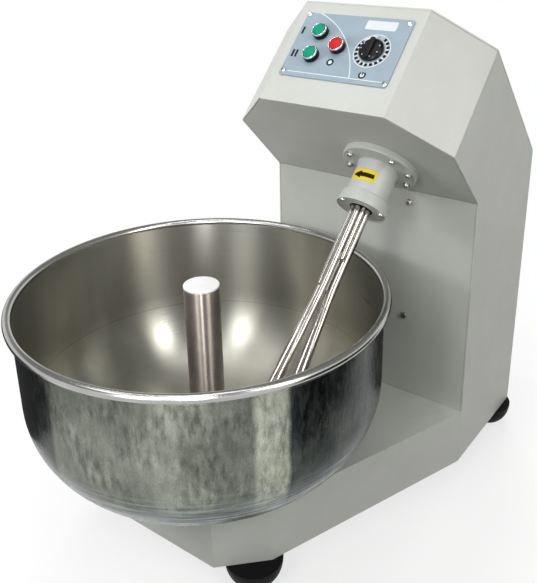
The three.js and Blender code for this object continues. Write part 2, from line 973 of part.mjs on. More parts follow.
// Front feet stand under the chamfered corners of the base, rear feet under the column's.
const frontFootShare = 0.7; // along the chamfer, from the front face
const footPlaces = (() => {
  const along = baseChamfer * frontFootShare;
  const frontX = baseFrontWidth / 2 + along - footInset * slope;
  const frontY = -baseFront + along + footInset * slope;
  const rearY = cabinetRear - rearFootInset;
  return [
    { name: "front_left", x: -frontX, y: frontY },
    { name: "front_right", x: frontX, y: frontY },
    { name: "rear_left", x: cabinetLeft + rearFootInset, y: rearY },
    { name: "rear_right", x: cabinetRight - rearFootInset, y: rearY },
  ];
})();

const foot = { sole: 18, socket: 26, nut: 9.2, nutHeight: 8, rise: 14 };

function rubberFoot() {
  const steps = 4;
  const points = [[0, 0], [foot.sole, 0]];
  for (let i = 1; i <= steps; i++) {
    const angle = (quarter * i) / steps;
    points.push([
      foot.sole + (footRadius - foot.sole) * Math.sin(angle),
      (footHeight - seam) * (1 - Math.cos(angle)),
    ]);
  }
  const hole = studRadius + seam;
  points.push([hole, footHeight - seam], [hole, footHeight - foot.socket], [0, footHeight - foot.socket]);
  return turned(points);
}

function footStud() {
  const bottom = footHeight - foot.socket + seam;
  const shank = rod(studRadius, bottom, bottomTop + foot.rise, coarse);
  const nut = rod(foot.nut, bottomTop + seam, bottomTop + seam + foot.nutHeight, coarse / 2);
  return join(shank, nut);
}

function cabinet() {
  const group = new THREE.Group();
  group.add(
    part("base_shell", baseShell(), "paint"),
    part("bottom_plate", bottomPlate(), "steel"),
    part("left_side_panel", sidePanel(cabinetLeft), "paint"),
    part("right_side_panel", sidePanel(cabinetRight - sheet), "paint"),
    part("column_front_panel", columnPanel(), "paint"),
    part("rear_cover", rearCover(), "paint"),
  );
  for (const { name, x, y } of footPlaces) {
    const rubber = part("foot_" + name, rubberFoot(), "rubber");
    const stud = part("foot_stud_" + name, footStud(), "steel");
    rubber.position.set(x, y, 0);
    stud.position.set(x, y, 0);
    group.add(rubber, stud);
  }
  return group;
}

function controls() {
  const group = new THREE.Group();
  group.rotation.x = quarter;
  group.add(part("control_panel", controlPanel(), "aluminium"));
  for (const { name, x, y, finish } of buttons) {
    const pieces = [
      part(name + "_bezel", buttonBezel(), "black"),
      part(name + "_button", buttonCap(), finish),
      part(name + "_contact_block", contactBlock(), "contactGrey"),
    ];
    for (const piece of pieces) {
      piece.position.set(x, y, 0);
      group.add(piece);
    }
  }
  const clock = [
    part("timer_knob", timerKnob(), "black"),
    part("timer_body", timerBody(), "contactGrey"),
  ];
  for (const piece of clock) {
    piece.position.set(timer.x, timer.y, 0);
    group.add(piece);
  }
  return group;
}

function tool() {
  const group = new THREE.Group();
  group.position.set(toolSide, toolDown, 0);
  const lowBearing = neckEnd + bearing.seat;
  group.add(
    part("bearing_housing", bearingHousing(), "castPaint"),
    part("seal_collar", sealCollar(), "castPaint"),
    part("lower_tool_bearing", toolBearing(lowBearing), "steel"),
    part("upper_tool_bearing", toolBearing(-flangeThickness - bearing.seat), "steel"),
    part("tool_gearbox", toolGearbox(), "castIron"),
    part("agitator_shaft", agitatorShaft(), "stainless"),
    part("outer_whisk_loop", whiskLoop(toolReach), "stainless"),
    part("inner_whisk_loop", whiskLoop(toolReach - 2 * barRadius - seam).rotateZ(quarter), "stainless"),
  );
  stubEnds.forEach((end, i) => {
    const stub = part("stub_bar_" + (i + 1), stubBar(end), "stainless");
    stub.rotation.z = i * quarter - quarter / 2;
    group.add(stub);
  });
  return group;
}

function head() {
  const group = new THREE.Group();
  group.position.set(cabinetOffset, headFront, headEdge);
  group.rotation.x = -quarter / 2;
  group.add(
    part("head_underside_panel", undersidePanel(), "paint"),
    part("control_face_shell", controlShell(), "paint"),
    part("top_cover", topCover(), "paint"),
    controls(),
    tool(),
  );
  return group;
}

function drive() {
  const group = new THREE.Group();
  const endGap = 1;
  const bore = inputShaft + seam;
  const lay = (geometry, { y, z }) => layOver(geometry, 0, y, z);
  const shaft = (start, end, axis) => lay(rod(inputShaft, start, end, coarse), axis);
  const wheel = (pitch, planes, axis) => lay(pulley(pitch, planes, bore), axis);
  const motorShaft = shaft(bowlBeltSide - beltWidth, motorStart + motor.gearhead / 2 - endGap, motorAxis);
  const toolShaftEnd = cabinetOffset + toolSide - shaftSeat - endGap;
  const toolShaftIn = shaft(toolBeltSide - beltWidth, toolShaftEnd, toolInput);
  const bowlShaftIn = shaft(shaftSeat + endGap, bowlBeltSide + beltWidth, bowlInput);
  group.add(
    part("motor_gearhead", motorGearhead(), "motorBlue"),
    part("motor_body", motorBody(), "motorBlue"),
    part("motor_fan_cover", motorFanCover(), "machineGrey"),
    part("motor_terminal_box", terminalBox(), "machineGrey"),
    part("motor_shaft", motorShaft, "steel"),
    part("motor_pulley", wheel(motorPulley, [bowlBeltSide, toolBeltSide], motorAxis), "castIron"),
    part("tool_input_shaft", toolShaftIn, "steel"),
    part("tool_pulley", wheel(toolPulley, [toolBeltSide], toolInput), "castIron"),
    part("bowl_input_shaft", bowlShaftIn, "steel"),
    part("bowl_pulley", wheel(bowlPulley, [bowlBeltSide], bowlInput), "castIron"),
    part("tool_belt", belt([motorAxis, toolInput], toolBeltSide), "rubber"),
    part("bowl_belt", belt([bowlInput, motorAxis], bowlBeltSide), "rubber"),
    part("bowl_gearbox", bowlGearbox(), "castIron"),
    part("bowl_bearing_housing", bowlBearingHousing(), "castIron"),
    part("bowl_bearing", bowlBearing(), "steel"),
  );
  return group;
}

function bowl() {
  const group = new THREE.Group();
  group.add(
    part("bowl_shell", bowlShell(), "stainless"),
    part("bowl_carrier", bowlCarrier(), "steel"),
    part("centre_pin_boss", centrePinBoss(), "stainless"),
    part("centre_pin", centrePin(), "stainless"),
  );
  return group;
}

// The footprint runs from the bowl's rim to the outside of the rear right foot.
const rimRadius = beadCentre + beadRadius;
const rearFoot = footPlaces.at(-1);
const middleX = (rearFoot.x + footRadius - rimRadius) / 2;
const middleY = (rearFoot.y + footRadius - rimRadius) / 2;

const mixer = new THREE.Group();
mixer.position.set(-middleX, -middleY, 0);
mixer.add(cabinet(), head(), drive(), bowl());

export default mixer;
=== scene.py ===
# Dough mixer with a powered bowl and an inclined whisk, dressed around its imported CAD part.
import bmesh
import bpy
import math
from mathutils import Matrix, Vector, noise as wobble


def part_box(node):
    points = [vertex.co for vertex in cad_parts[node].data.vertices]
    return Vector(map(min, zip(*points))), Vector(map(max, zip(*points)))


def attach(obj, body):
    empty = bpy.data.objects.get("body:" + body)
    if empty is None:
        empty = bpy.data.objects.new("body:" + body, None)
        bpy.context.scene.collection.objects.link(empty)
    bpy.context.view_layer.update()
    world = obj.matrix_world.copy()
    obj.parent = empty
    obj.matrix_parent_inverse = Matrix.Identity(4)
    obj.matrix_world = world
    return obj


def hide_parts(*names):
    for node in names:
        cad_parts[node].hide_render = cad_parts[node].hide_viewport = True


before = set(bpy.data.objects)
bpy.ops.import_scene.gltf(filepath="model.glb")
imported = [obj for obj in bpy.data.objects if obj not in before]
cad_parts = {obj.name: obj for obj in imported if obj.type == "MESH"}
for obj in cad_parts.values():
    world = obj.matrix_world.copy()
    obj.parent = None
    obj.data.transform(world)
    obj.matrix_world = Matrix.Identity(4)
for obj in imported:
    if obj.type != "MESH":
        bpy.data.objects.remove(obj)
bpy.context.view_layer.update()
millimetre = 0.001  # shapes are drawn in millimetres and made metres when they are finished
mergeDistance = 0.002  # in millimetres too


# Places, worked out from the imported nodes

def middleOf(name):
    low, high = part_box(name)
    return (low + high) / 2 / millimetre


def placeAt(x=0.0, y=0.0, z=0.0, tilt=0.0):
    return Matrix.Translation((x, y, z)) @ Matrix.Rotation(math.radians(tilt), 4, "X")


def turnedPlace(turn, x=0.0, y=0.0, z=0.0):
    # a place swung around the Z axis by degrees
    return Matrix.Rotation(math.radians(turn), 4, "Z") @ Matrix.Translation((x, y, z))


def newObject(name, data):
    made = bpy.data.objects.new(name, data)
    bpy.context.scene.collection.objects.link(made)
    return made


head = {"middle": 102.55, "edgeY": 13.8, "edgeZ": 751.0, "tilt": 45.0, "toolSide": 57.0, "toolDown": 157.0}
bowlMiddle = middleOf("bowl_shell")
bowlPlace = placeAt(bowlMiddle.x, bowlMiddle.y)
panelPlace = placeAt(head["middle"], head["edgeY"], head["edgeZ"], head["tilt"])
headPlace = placeAt(head["middle"], head["edgeY"], head["edgeZ"], -head["tilt"])
toolPlace = headPlace @ Matrix.Translation((head["toolSide"], head["toolDown"], 0))


# Camera at the photograph's viewing angle

cameraSettings = {
    "location": (0.77853, -0.99116, 1.04313),
    "azimuth": 35.585,
    "elevation": 20.793,
    "roll": -0.491,
    "lens": 47.89,
    "sensor": 36,
    "shift": (-0.04815, -0.147),
    "clip": (0.02, 60),
}


def addCamera(settings):
    data = bpy.data.cameras.new("photoCamera")
    camera = newObject("photoCamera", data)
    turn = math.radians(settings["azimuth"])
    rise = math.radians(settings["elevation"])
    back = Vector((math.sin(turn) * math.cos(rise), -math.cos(turn) * math.cos(rise), math.sin(rise)))
    upright = (-back).to_track_quat("-Z", "Y").to_matrix().to_4x4()
    rolled = upright @ Matrix.Rotation(math.radians(settings["roll"]), 4, "Z")
    camera.matrix_world = Matrix.Translation(settings["location"]) @ rolled
    data.lens = settings["lens"]
    data.sensor_width = settings["sensor"]
    data.shift_x, data.shift_y = settings["shift"]
    data.clip_start, data.clip_end = settings["clip"]
    bpy.context.scene.camera = camera


addCamera(cameraSettings)
print("camera placed")


# Material helpers: every finish reads object coordinates

def startMaterial(name):
    material = bpy.data.materials.new(name)
    material.use_nodes = True
    tree = material.node_tree
    return material, tree, tree.nodes["Principled BSDF"]


def addNode(tree, kind, inputs=None, **settings):
    made = tree.nodes.new("ShaderNode" + kind)
    for key, value in settings.items():
        setattr(made, key, value)
    for key, value in (inputs or {}).items():
        if isinstance(value, bpy.types.NodeSocket):
            tree.links.new(value, made.inputs[key])
        else:
            made.inputs[key].default_value = value
    return made


def calculate(tree, operation, *values, **settings):
    return addNode(tree, "Math", dict(enumerate(values)), operation=operation, **settings).outputs["Value"]


def vectorMath(tree, operation, inputs, output="Vector"):
    return addNode(tree, "VectorMath", inputs, operation=operation).outputs[output]


def linear(red, green, blue):
    # a colour as it is read off a screen, 0 to 255
    def channel(value):
        share = value / 255
        return share / 12.92 if share <= 0.04045 else ((share + 0.055) / 1.055) ** 2.4
    return (channel(red), channel(green), channel(blue), 1.0)


def localCoordinates(tree, place=None):
    # object coordinates in millimetres about a place, or about the origin
    coordinates = addNode(tree, "TexCoord").outputs["Object"]
    inverse = (place or Matrix.Identity(4)).inverted()
    return addNode(tree, "Mapping", {
        "Vector": coordinates,
        "Location": inverse.translation,
        "Rotation": inverse.to_euler(),
        "Scale": (1 / millimetre,) * 3,
    }).outputs["Vector"]


def stretched(tree, vector, scale):
    return addNode(tree, "Mapping", {"Vector": vector, "Scale": scale}).outputs["Vector"]


def aroundAxis(tree, vector, turnScale, alongScale):
    # coordinates for marks left by turning: slow around the axis, fine across the lines
    parts = addNode(tree, "SeparateXYZ", {"Vector": vector}).outputs
    flat = addNode(tree, "CombineXYZ", {"X": parts["X"], "Y": parts["Y"]}).outputs["Vector"]
    radius = vectorMath(tree, "LENGTH", {0: flat}, "Value")
    unit = vectorMath(tree, "NORMALIZE", {0: flat})
    circle = vectorMath(tree, "SCALE", {0: unit, "Scale": turnScale})
    along = calculate(tree, "ADD", parts["Z"], radius)
    scaled = calculate(tree, "MULTIPLY", along, alongScale)
    lift = addNode(tree, "CombineXYZ", {"Z": scaled}).outputs["Vector"]
    return vectorMath(tree, "ADD", {0: circle, 1: lift})


def noise(tree, vector, scale, detail=3.0, roughness=0.55):
    return addNode(tree, "TexNoise", {
        "Vector": vector, "Scale": scale, "Detail": detail, "Roughness": roughness,
    }).outputs["Fac"]


def spread(tree, value, low, high, start=0.3, end=0.7):
    return addNode(tree, "MapRange", {
        "Value": value, "From Min": start, "From Max": end, "To Min": low, "To Max": high,
    }).outputs["Result"]


def blend(tree, share, first, second, mode="MIX"):
    made = addNode(tree, "Mix", data_type="RGBA", blend_type=mode)
    for socket, value in ((made.inputs[0], share), (made.inputs[6], first), (made.inputs[7], second)):
        if isinstance(value, bpy.types.NodeSocket):
            tree.links.new(value, socket)
        else:
            socket.default_value = value
    return made.outputs[2]


def addBump(tree, shader, height, depth):
    # the height is a share, the depth is in millimetres
    bump = addNode(tree, "Bump", {"Height": height, "Distance": depth * millimetre, "Strength": 1.0})
    tree.links.new(bump.outputs["Normal"], shader.inputs["Normal"])


def coatedFinish(name, settings):
    # paint, plastic and rubber: two close tones, fine speckle, and a grain in the surface
    material, tree, shader = startMaterial(name)
    vector = localCoordinates(tree)
    first, second, speck = (linear(*tone) for tone in settings["tones"])
    patches = spread(tree, noise(tree, vector, settings["patchScale"]), 0, 1)
    speckle = noise(tree, vector, settings["speckScale"], 2.0)
    specks = spread(tree, speckle, 0, settings["speckShare"], 0.45, 0.75)
    tone = blend(tree, patches, first, second)
    tree.links.new(blend(tree, specks, tone, speck), shader.inputs["Base Color"])
    rough = spread(tree, noise(tree, vector, settings["patchScale"] * 3), *settings["roughness"])
    tree.links.new(rough, shader.inputs["Roughness"])
    shader.inputs["Specular IOR Level"].default_value = settings["gloss"]
    addBump(tree, shader, noise(tree, vector, settings["grainScale"], 2.0), settings["grainDepth"])
    return material


def spreadGloss(tree, shader, amount):
    # turned metal stretches its reflections across the turning lines
    tangent = addNode(tree, "Tangent", direction_type="RADIAL", axis="Z").outputs["Tangent"]
    tree.links.new(tangent, shader.inputs["Tangent"])
    shader.inputs["Anisotropic"].default_value = amount
    shader.inputs["Anisotropic Rotation"].default_value = 0.25  # of a full turn


def metalFinish(name, settings):
    # bare metal: brushing around or along a place's axis, cloudy patches and uneven gloss
    material, tree, shader = startMaterial(name)
    vector = localCoordinates(tree, settings.get("place"))
    turnScale, lineScale, lineShare = settings["turnScale"], settings["lineScale"], settings["lineShare"]
    if settings["lines"] == "around":
        brushed = aroundAxis(tree, vector, turnScale, lineScale)
    else:
        brushed = stretched(tree, vector, (lineScale, lineScale, turnScale))
    lines = noise(tree, brushed, 1.0, 4.0, 0.6)
    cloudVector = stretched(tree, vector, settings.get("cloudStretch", (1, 1, 1)))
    clouds = noise(tree, cloudVector, settings["cloudScale"], 4.0)
    first, second = (linear(*tone) for tone in settings["tones"])
    tone = blend(tree, spread(tree, clouds, 0, 1, 0.35, 0.65), first, second)
    if "ringHeight" in settings:
        height = addNode(tree, "SeparateXYZ", {"Vector": vector}).outputs["Z"]
        ring = calculate(tree, "COMPARE", height, settings["ringHeight"], settings["ringHalf"])
        tone = blend(tree, ring, tone, linear(*settings["ringTone"]))
    streaks = spread(tree, lines, 1 - lineShare, 1 + lineShare)
    tree.links.new(blend(tree, 1.0, tone, streaks, "MULTIPLY"), shader.inputs["Base Color"])
    lineRough = spread(tree, lines, *settings["roughness"])
    cloudRough = spread(tree, clouds, 0, settings["cloudRoughness"])
    tree.links.new(calculate(tree, "ADD", lineRough, cloudRough), shader.inputs["Roughness"])
    shader.inputs["Metallic"].default_value = settings.get("metallic", 1.0)
    addBump(tree, shader, lines, settings["lineDepth"])
    if "stretchedGloss" in settings:
        spreadGloss(tree, shader, settings["stretchedGloss"])
    return material


def reflectionBandRamp(tree, value, reflectionBands, softness):
    # a share that steps from band to band around the circle, for painted reflections; bands are given as
    # degrees and shares
    ramp = addNode(tree, "ValToRGB", {"Fac": value})
    stops = ramp.color_ramp.elements
    ends = [start for start, share in reflectionBands[1:]] + [180]
    for (start, share), end in zip(reflectionBands, ends):
        for turn in (start + softness, end - softness):
            stop = stops.new((turn + 180) / 360)
            stop.color = (share, share, share, 1)
    stops.remove(stops[0])
    stops.remove(stops[len(stops) - 1])
    return ramp.outputs["Color"]


def mottledPaintedReflectionFinish(name, settings):
    # dull outside of a spun bowl: upright bands of painted reflection, bright and dark by the angle around
    # the bowl, smears, and turning marks at the lower corner whose dark and pale tones are partly painted
    # reflection
    material, tree, shader = startMaterial(name)
    vector = localCoordinates(tree, settings["place"])
    waves = addNode(tree, "TexNoise", {"Vector": vector, "Scale": settings["waveScale"], "Detail": 3.0})
    shift = vectorMath(tree, "SCALE", {0: waves.outputs["Color"], "Scale": settings["waveReach"]})
    bent = vectorMath(tree, "ADD", {0: vector, 1: shift})
    parts = addNode(tree, "SeparateXYZ", {"Vector": bent}).outputs
    turn = spread(tree, calculate(tree, "ARCTAN2", parts["Y"], parts["X"]), 0, 1, -math.pi, math.pi)
    # painted reflection: a tone that steps by the angle around the bowl
    reflectionBands = reflectionBandRamp(tree, turn, settings["reflectionBands"], settings["bandEdge"])
    drift = noise(tree, bent, settings["driftScale"], 2.0)
    drift = spread(tree, drift, -settings["drift"], settings["drift"])
    share = calculate(tree, "ADD", reflectionBands, drift, use_clamp=True)
    olive = spread(tree, noise(tree, bent, settings["oliveScale"], 3.0), *settings["oliveSpread"])
    light = blend(tree, olive, linear(*settings["reflectionLight"]), linear(*settings["oliveTone"]))
    tone = blend(tree, share, linear(*settings["reflectionDark"]), light)
    smears = noise(tree, stretched(tree, bent, settings["smearStretch"]), settings["smearScale"], 5.0, 0.66)
    worn = spread(tree, noise(tree, bent, settings["wornScale"], 2.0), *settings["wornSpread"])
    smeared = blend(tree, 1.0, tone, spread(tree, smears, *settings["smearSpread"]), "MULTIPLY")
    tone = blend(tree, worn, tone, smeared)
    fine = noise(tree, stretched(tree, vector, settings["fineStretch"]), settings["fineScale"], 3.0, 0.6)
    tone = blend(tree, 1.0, tone, spread(tree, fine, *settings["fineSpread"]), "MULTIPLY")
    # turning marks at the lower corner: real turned lines, their dark and pale tones partly painted
    # reflection
    turned = noise(tree, aroundAxis(tree, vector, *settings["cornerLines"]), 1.0, 4.0, 0.6)
    low = spread(tree, parts["Z"], *settings["cornerReach"])
    dark, pale = (linear(*tone) for tone in settings["cornerTones"])
    turnedTone = blend(tree, spread(tree, turned, *settings["cornerSpread"]), dark, pale)
    tree.links.new(blend(tree, low, tone, turnedTone), shader.inputs["Base Color"])
    tree.links.new(spread(tree, smears, *settings["roughness"]), shader.inputs["Roughness"])
    shader.inputs["Metallic"].default_value = 1.0
    addBump(tree, shader, smears, settings["waveDepth"])
    return material


def variant(base, **changes):
    return {**base, **changes}


# Coats: the tones are the main one, a close second one and the speckle's

powderCoat = {
    "tones": ((209, 211, 206), (203, 205, 200), (184, 185, 179)),
    "patchScale": 0.012,
    "speckScale": 0.9,
    "speckShare": 0.35,
    "roughness": (0.4, 0.5),
    "grainScale": 0.55,
    "grainDepth": 0.06,
    "gloss": 0.5,
}
buttonPlastic = variant(
    powderCoat, patchScale=0.05, speckShare=0.2, gloss=0.14, roughness=(0.3, 0.42), grainScale=1.6,
    grainDepth=0.015)
ink = variant(powderCoat, speckShare=0.2, grainDepth=0.01)

paint = coatedFinish("powderCoatPaint", powderCoat)
castPaint = coatedFinish("castPaint", variant(
    powderCoat, tones=((204, 207, 203), (196, 199, 195), (176, 176, 170)), speckScale=0.5, grainScale=0.35,
    grainDepth=0.1, roughness=(0.36, 0.46)))
rubber = coatedFinish("footRubber", variant(
    powderCoat, tones=((5, 5, 7), (8, 8, 10), (22, 22, 23)), speckShare=0.4, roughness=(0.5, 0.65),
    grainDepth=0.08, gloss=0.14))
beltRubber = coatedFinish("beltRubber", variant(
    powderCoat, tones=((28, 28, 28), (38, 37, 36), (70, 68, 64)), speckShare=0.4, roughness=(0.6, 0.8),
    grainDepth=0.12))
blackPlastic = coatedFinish("blackPlastic", variant(
    powderCoat, tones=((9, 9, 11), (13, 13, 15), (28, 28, 30)), speckShare=0.25, roughness=(0.26, 0.4),
    grainScale=1.6, grainDepth=0.02, gloss=0.2))
contactPlastic = coatedFinish("contactPlastic", variant(
    powderCoat, tones=((64, 66, 70), (72, 74, 78), (92, 92, 94)), roughness=(0.4, 0.55), grainScale=1.4,
    grainDepth=0.03))
startGreen = coatedFinish("startGreen", variant(
    buttonPlastic, tones=((0, 160, 126), (0, 150, 118), (30, 180, 148))))
stopRed = coatedFinish("stopRed", variant(
    buttonPlastic, tones=((222, 34, 36), (212, 28, 32), (236, 70, 68))))
whiteInk = coatedFinish("whiteInk", variant(
    ink, tones=((232, 238, 242), (222, 230, 236), (205, 214, 222))))
blackInk = coatedFinish("blackInk", variant(
    ink, tones=((8, 9, 13), (13, 14, 18), (36, 38, 42)), gloss=0.2))
yellowFilm = coatedFinish("yellowFilm", variant(
    ink, tones=((255, 226, 6), (246, 214, 4), (232, 196, 20)), speckShare=0.25, roughness=(0.3, 0.42),
    gloss=0.25))
dialGrey = coatedFinish("dialGrey", variant(
    ink, tones=((186, 196, 203), (178, 189, 197), (164, 174, 182))))
panelAluminium = coatedFinish("panelAluminium", variant(
    powderCoat, tones=((154, 173, 187), (146, 165, 179), (178, 192, 202)), patchScale=0.03, speckScale=1.1,
    speckShare=0.5, roughness=(0.34, 0.46), grainScale=1.2, grainDepth=0.02))
motorPaint = coatedFinish("motorPaint", variant(
    powderCoat, tones=((70, 92, 112), (62, 84, 104), (100, 118, 132)), roughness=(0.38, 0.5)))
gearboxIron = coatedFinish("gearboxIron", variant(
    powderCoat, tones=((104, 108, 110), (92, 96, 98), (136, 138, 138)), speckScale=0.4, roughness=(0.45, 0.6),
    grainScale=0.3, grainDepth=0.2))
motorTrim = coatedFinish("motorTrim", variant(
    powderCoat, tones=((44, 46, 50), (52, 54, 58), (80, 82, 84)), roughness=(0.4, 0.55)))


# Bare metals: the tones are those of the clouds

plainSteel = {
    "lines": "around",
    "turnScale": 3.0,
    "lineScale": 1.2,
    "lineShare": 0.08,
    "lineDepth": 0.01,
    "cloudScale": 0.02,
    "cloudRoughness": 0.06,
    "tones": ((176, 174, 170), (160, 158, 154)),
    "roughness": (0.22, 0.34),
}
bowlAxisSteel = variant(plainSteel, place=bowlPlace)
toolAxisSteel = variant(plainSteel, place=toolPlace)

bowlInside = metalFinish("bowlInsideSatin", variant(
    bowlAxisSteel, turnScale=1.2, lineScale=1.1, lineShare=0.04, lineDepth=0.006,
    tones=((173, 172, 165), (158, 156, 146)), cloudScale=0.008, cloudStretch=(1, 1, 0.4),
    roughness=(0.26, 0.31), cloudRoughness=0.04, stretchedGloss=0.95,
    ringHeight=286.0, ringHalf=0.6, ringTone=(140, 138, 130)))
bowlOutside = mottledPaintedReflectionFinish("bowlOutsideMottledPaintedReflection", {
    "place": bowlPlace,
    "waveScale": 0.03,
    "waveReach": 5.0,
    # painted reflection: bright and dark bands by the angle around the bowl, in degrees and shares
    "reflectionBands": [(-180, 0.55), (-134, 0.0), (-94, 0.38), (-81, 0.46), (-71, 0.38), (-66, 0.5), (-61, 0.7),
              (-54, 0.52), (-46, 0.3), (-34, 0.97), (-25, 0.03), (14, 0.14), (24, 0.5), (70, 0.75),
              (120, 0.35)],
    "bandEdge": 0.35,
    "reflectionDark": (58, 64, 63),
    "reflectionLight": (174, 178, 164),
    "driftScale": 0.016,
    "drift": 0.1,
    "oliveScale": 0.012,
    "oliveSpread": (0, 0.5, 0.45, 0.65),
    "oliveTone": (126, 128, 110),
    "smearStretch": (1.0, 1.0, 0.34),
    "smearScale": 0.095,
    "smearSpread": (0.56, 1.36, 0.36, 0.64),
    "wornScale": 0.014,
    "wornSpread": (0.3, 1, 0.4, 0.56),
    "fineStretch": (1.0, 1.0, 0.45),
    "fineScale": 0.6,
    "fineSpread": (0.84, 1.12, 0.32, 0.68),
    # turning marks at the lower corner, real lines with partly painted reflection in their dark and pale
    # tones
    "cornerLines": (2.4, 0.16),
    "cornerReach": (0.85, 0, 246.0, 300.0),
    "cornerSpread": (0, 1, 0.4, 0.62),
    "cornerTones": ((26, 34, 42), (150, 159, 158)),
    "roughness": (0.2, 0.34, 0.35, 0.65),
    "waveDepth": 0.5,
})
beadSteel = metalFinish("beadPolished", variant(
    bowlAxisSteel, tones=((184, 184, 182), (176, 176, 174)), lineShare=0.02, lineDepth=0.0004,
    roughness=(0.17, 0.21), cloudRoughness=0.02))
pinSteel = metalFinish("pinBrushed", variant(
    bowlAxisSteel, tones=((186, 177, 169), (166, 157, 149)), lineShare=0.12, lineScale=1.6,
    roughness=(0.38, 0.44), stretchedGloss=1.0))
# satin steel top painted near white and mostly not metallic: a painted reflection of the bright surroundings
# above
pinTopPaintedSheen = metalFinish("pinTopSatinPaintedSheen", variant(
    bowlAxisSteel, tones=((252, 252, 252), (246, 246, 245)), lineShare=0.02, lineDepth=0.002,
    roughness=(0.45, 0.55), metallic=0.25))
# polished bars: light and dark clouds stretched along the bars, partly painted reflection of light and dark
# surroundings
toolSteelPaintedReflections = metalFinish("toolBarPolishedPaintedReflections", variant(
    toolAxisSteel, lines="along", turnScale=0.012, lineScale=0.5, lineShare=0.1, lineDepth=0.0008,
    tones=((196, 193, 188), (150, 146, 140)), cloudScale=0.16, cloudStretch=(1, 1, 0.05),
    roughness=(0.12, 0.18)))
weldSteel = metalFinish("weldSteel", variant(
    toolAxisSteel, lines="along", turnScale=0.3, lineScale=0.4, lineShare=0.2, lineDepth=0.2,
    tones=((150, 144, 138), (96, 90, 86)), cloudScale=0.2, roughness=(0.28, 0.45)))
shaftSteel = metalFinish("machinedSteel", toolAxisSteel)
platedSteel = metalFinish("platedSteel", variant(
    plainSteel, tones=((186, 186, 184), (176, 176, 173)), roughness=(0.22, 0.32)))
chrome = metalFinish("chromedRing", variant(
    plainSteel, tones=((226, 228, 230), (216, 218, 220)), lineShare=0.02, lineDepth=0.002,
    roughness=(0.08, 0.14), cloudRoughness=0.03))
print("materials made")


# Mesh helpers

def addPiece(name, mesh, materials, body, nodes):
    # the mesh becomes a piece that rides on its body and stands for its nodes
    piece = newObject(name, mesh)
    for material in materials:
        mesh.materials.append(material)
    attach(piece, body)
    if nodes:
        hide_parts(*nodes)
    return piece


def finishPiece(name, shape, place, materials, body, nodes=(), smoothAngle=40):
    # the drawing becomes a mesh in metres at its place
    bmesh.ops.transform(shape, matrix=Matrix.Diagonal((millimetre,) * 3 + (1,)) @ place, verts=shape.verts)
    mesh = bpy.data.meshes.new(name)
    for face in shape.faces:
        face.smooth = True
    shape.to_mesh(mesh)
    shape.free()
    if smoothAngle:
        mesh.set_sharp_from_angle(angle=math.radians(smoothAngle))
    return addPiece(name, mesh, materials, body, nodes)


easing = {
    "flatAngle": 0.5,  # degrees: flatter edges inside a face are taken out
    "sharpAngle": 24,  # degrees: sharper edges are eased
    "smoothAngle": 60,
    "foldFace": 8.0,  # faces wider than this on both sides of an edge make it a fold and not a cut edge
}


def dressNode(name, material, body, edge=0.5, fold=0.0, segments=2):
    # a merged copy of a node with its cut edges eased and its folds rounded
    shape = bmesh.new()
    shape.from_mesh(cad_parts[name].data)
    bmesh.ops.scale(shape, vec=(1 / millimetre,) * 3, verts=shape.verts)
    bmesh.ops.remove_doubles(shape, verts=shape.verts, dist=mergeDistance)
    flat = math.radians(easing["flatAngle"])
    bmesh.ops.dissolve_limit(shape, angle_limit=flat, verts=shape.verts, edges=shape.edges)
    weights = shape.edges.layers.float.new("bevel_weight_edge")
    widest = max(edge, fold)
    for line in shape.edges:
        if line.is_manifold and line.calc_face_angle() > math.radians(easing["sharpAngle"]):
            narrowest = min(face.calc_area() for face in line.link_faces) / line.calc_length()
            line[weights] = 1.0 if fold and narrowest > easing["foldFace"] else edge / widest
    bmesh.ops.connect_verts_concave(shape, faces=shape.faces[:])
    piece = finishPiece(name + "Piece", shape, Matrix.Identity(4), [material], body, [name],
                        easing["smoothAngle"])
    eased = piece.modifiers.new("easedEdges", "BEVEL")
    eased.limit_method = "WEIGHT"
    eased.width = widest * millimetre
    eased.segments = segments
    eased.harden_normals = True


cornerSteps = {"profile": 4, "plate": 5}


def roundCorners(shape, corners, rounding, segments, clamped):
    bmesh.ops.bevel(shape, geom=corners, offset=rounding, offset_type="OFFSET", segments=segments,
                    profile=0.5, affect="VERTICES", clamp_overlap=clamped, material=-1)


def drawProfile(points):
    # a half outline about the Z axis: radius, height, and at a round corner its rounding and steps
    shape = bmesh.new()
    corners = [shape.verts.new((point[0], 0, point[1])) for point in points]
    for pair in zip(corners, corners[1:]):
        shape.edges.new(pair)
    for corner, point in zip(corners, points):
        if len(point) > 2:
            steps = point[3] if len(point) > 3 else cornerSteps["profile"]
            roundCorners(shape, [corner], point[2], steps, False)
    return shape


def spinClosed(shape, steps):
    # a full turn about the Z axis, its seam and poles merged
    bmesh.ops.spin(shape, geom=shape.verts[:] + shape.edges[:], cent=(0, 0, 0), axis=(0, 0, 1),
                   dvec=(0, 0, 0), angle=2 * math.pi, steps=steps, use_merge=True)
    bmesh.ops.remove_doubles(shape, verts=shape.verts, dist=mergeDistance)
    bmesh.ops.recalc_face_normals(shape, faces=shape.faces)
    return shape


def spinProfile(points, steps=96):
    return spinClosed(drawProfile(points), steps)


def spinPiece(name, points, place, material, body, nodes=(), steps=96):
    finishPiece(name, spinProfile(points, steps), place, [material], body, nodes)


def joinShapes(shapes):
    # several drawings as one
    whole = bmesh.new()
    for shape in shapes:
        part = bpy.data.meshes.new("part")
        shape.to_mesh(part)
        whole.from_mesh(part)
        shape.free()
        bpy.data.meshes.remove(part)
    return whole


def moved(shape, place):
    bmesh.ops.transform(shape, matrix=place, verts=shape.verts)
    return shape


def slid(shape, x, y):
    return moved(shape, Matrix.Translation((x, y, 0)))


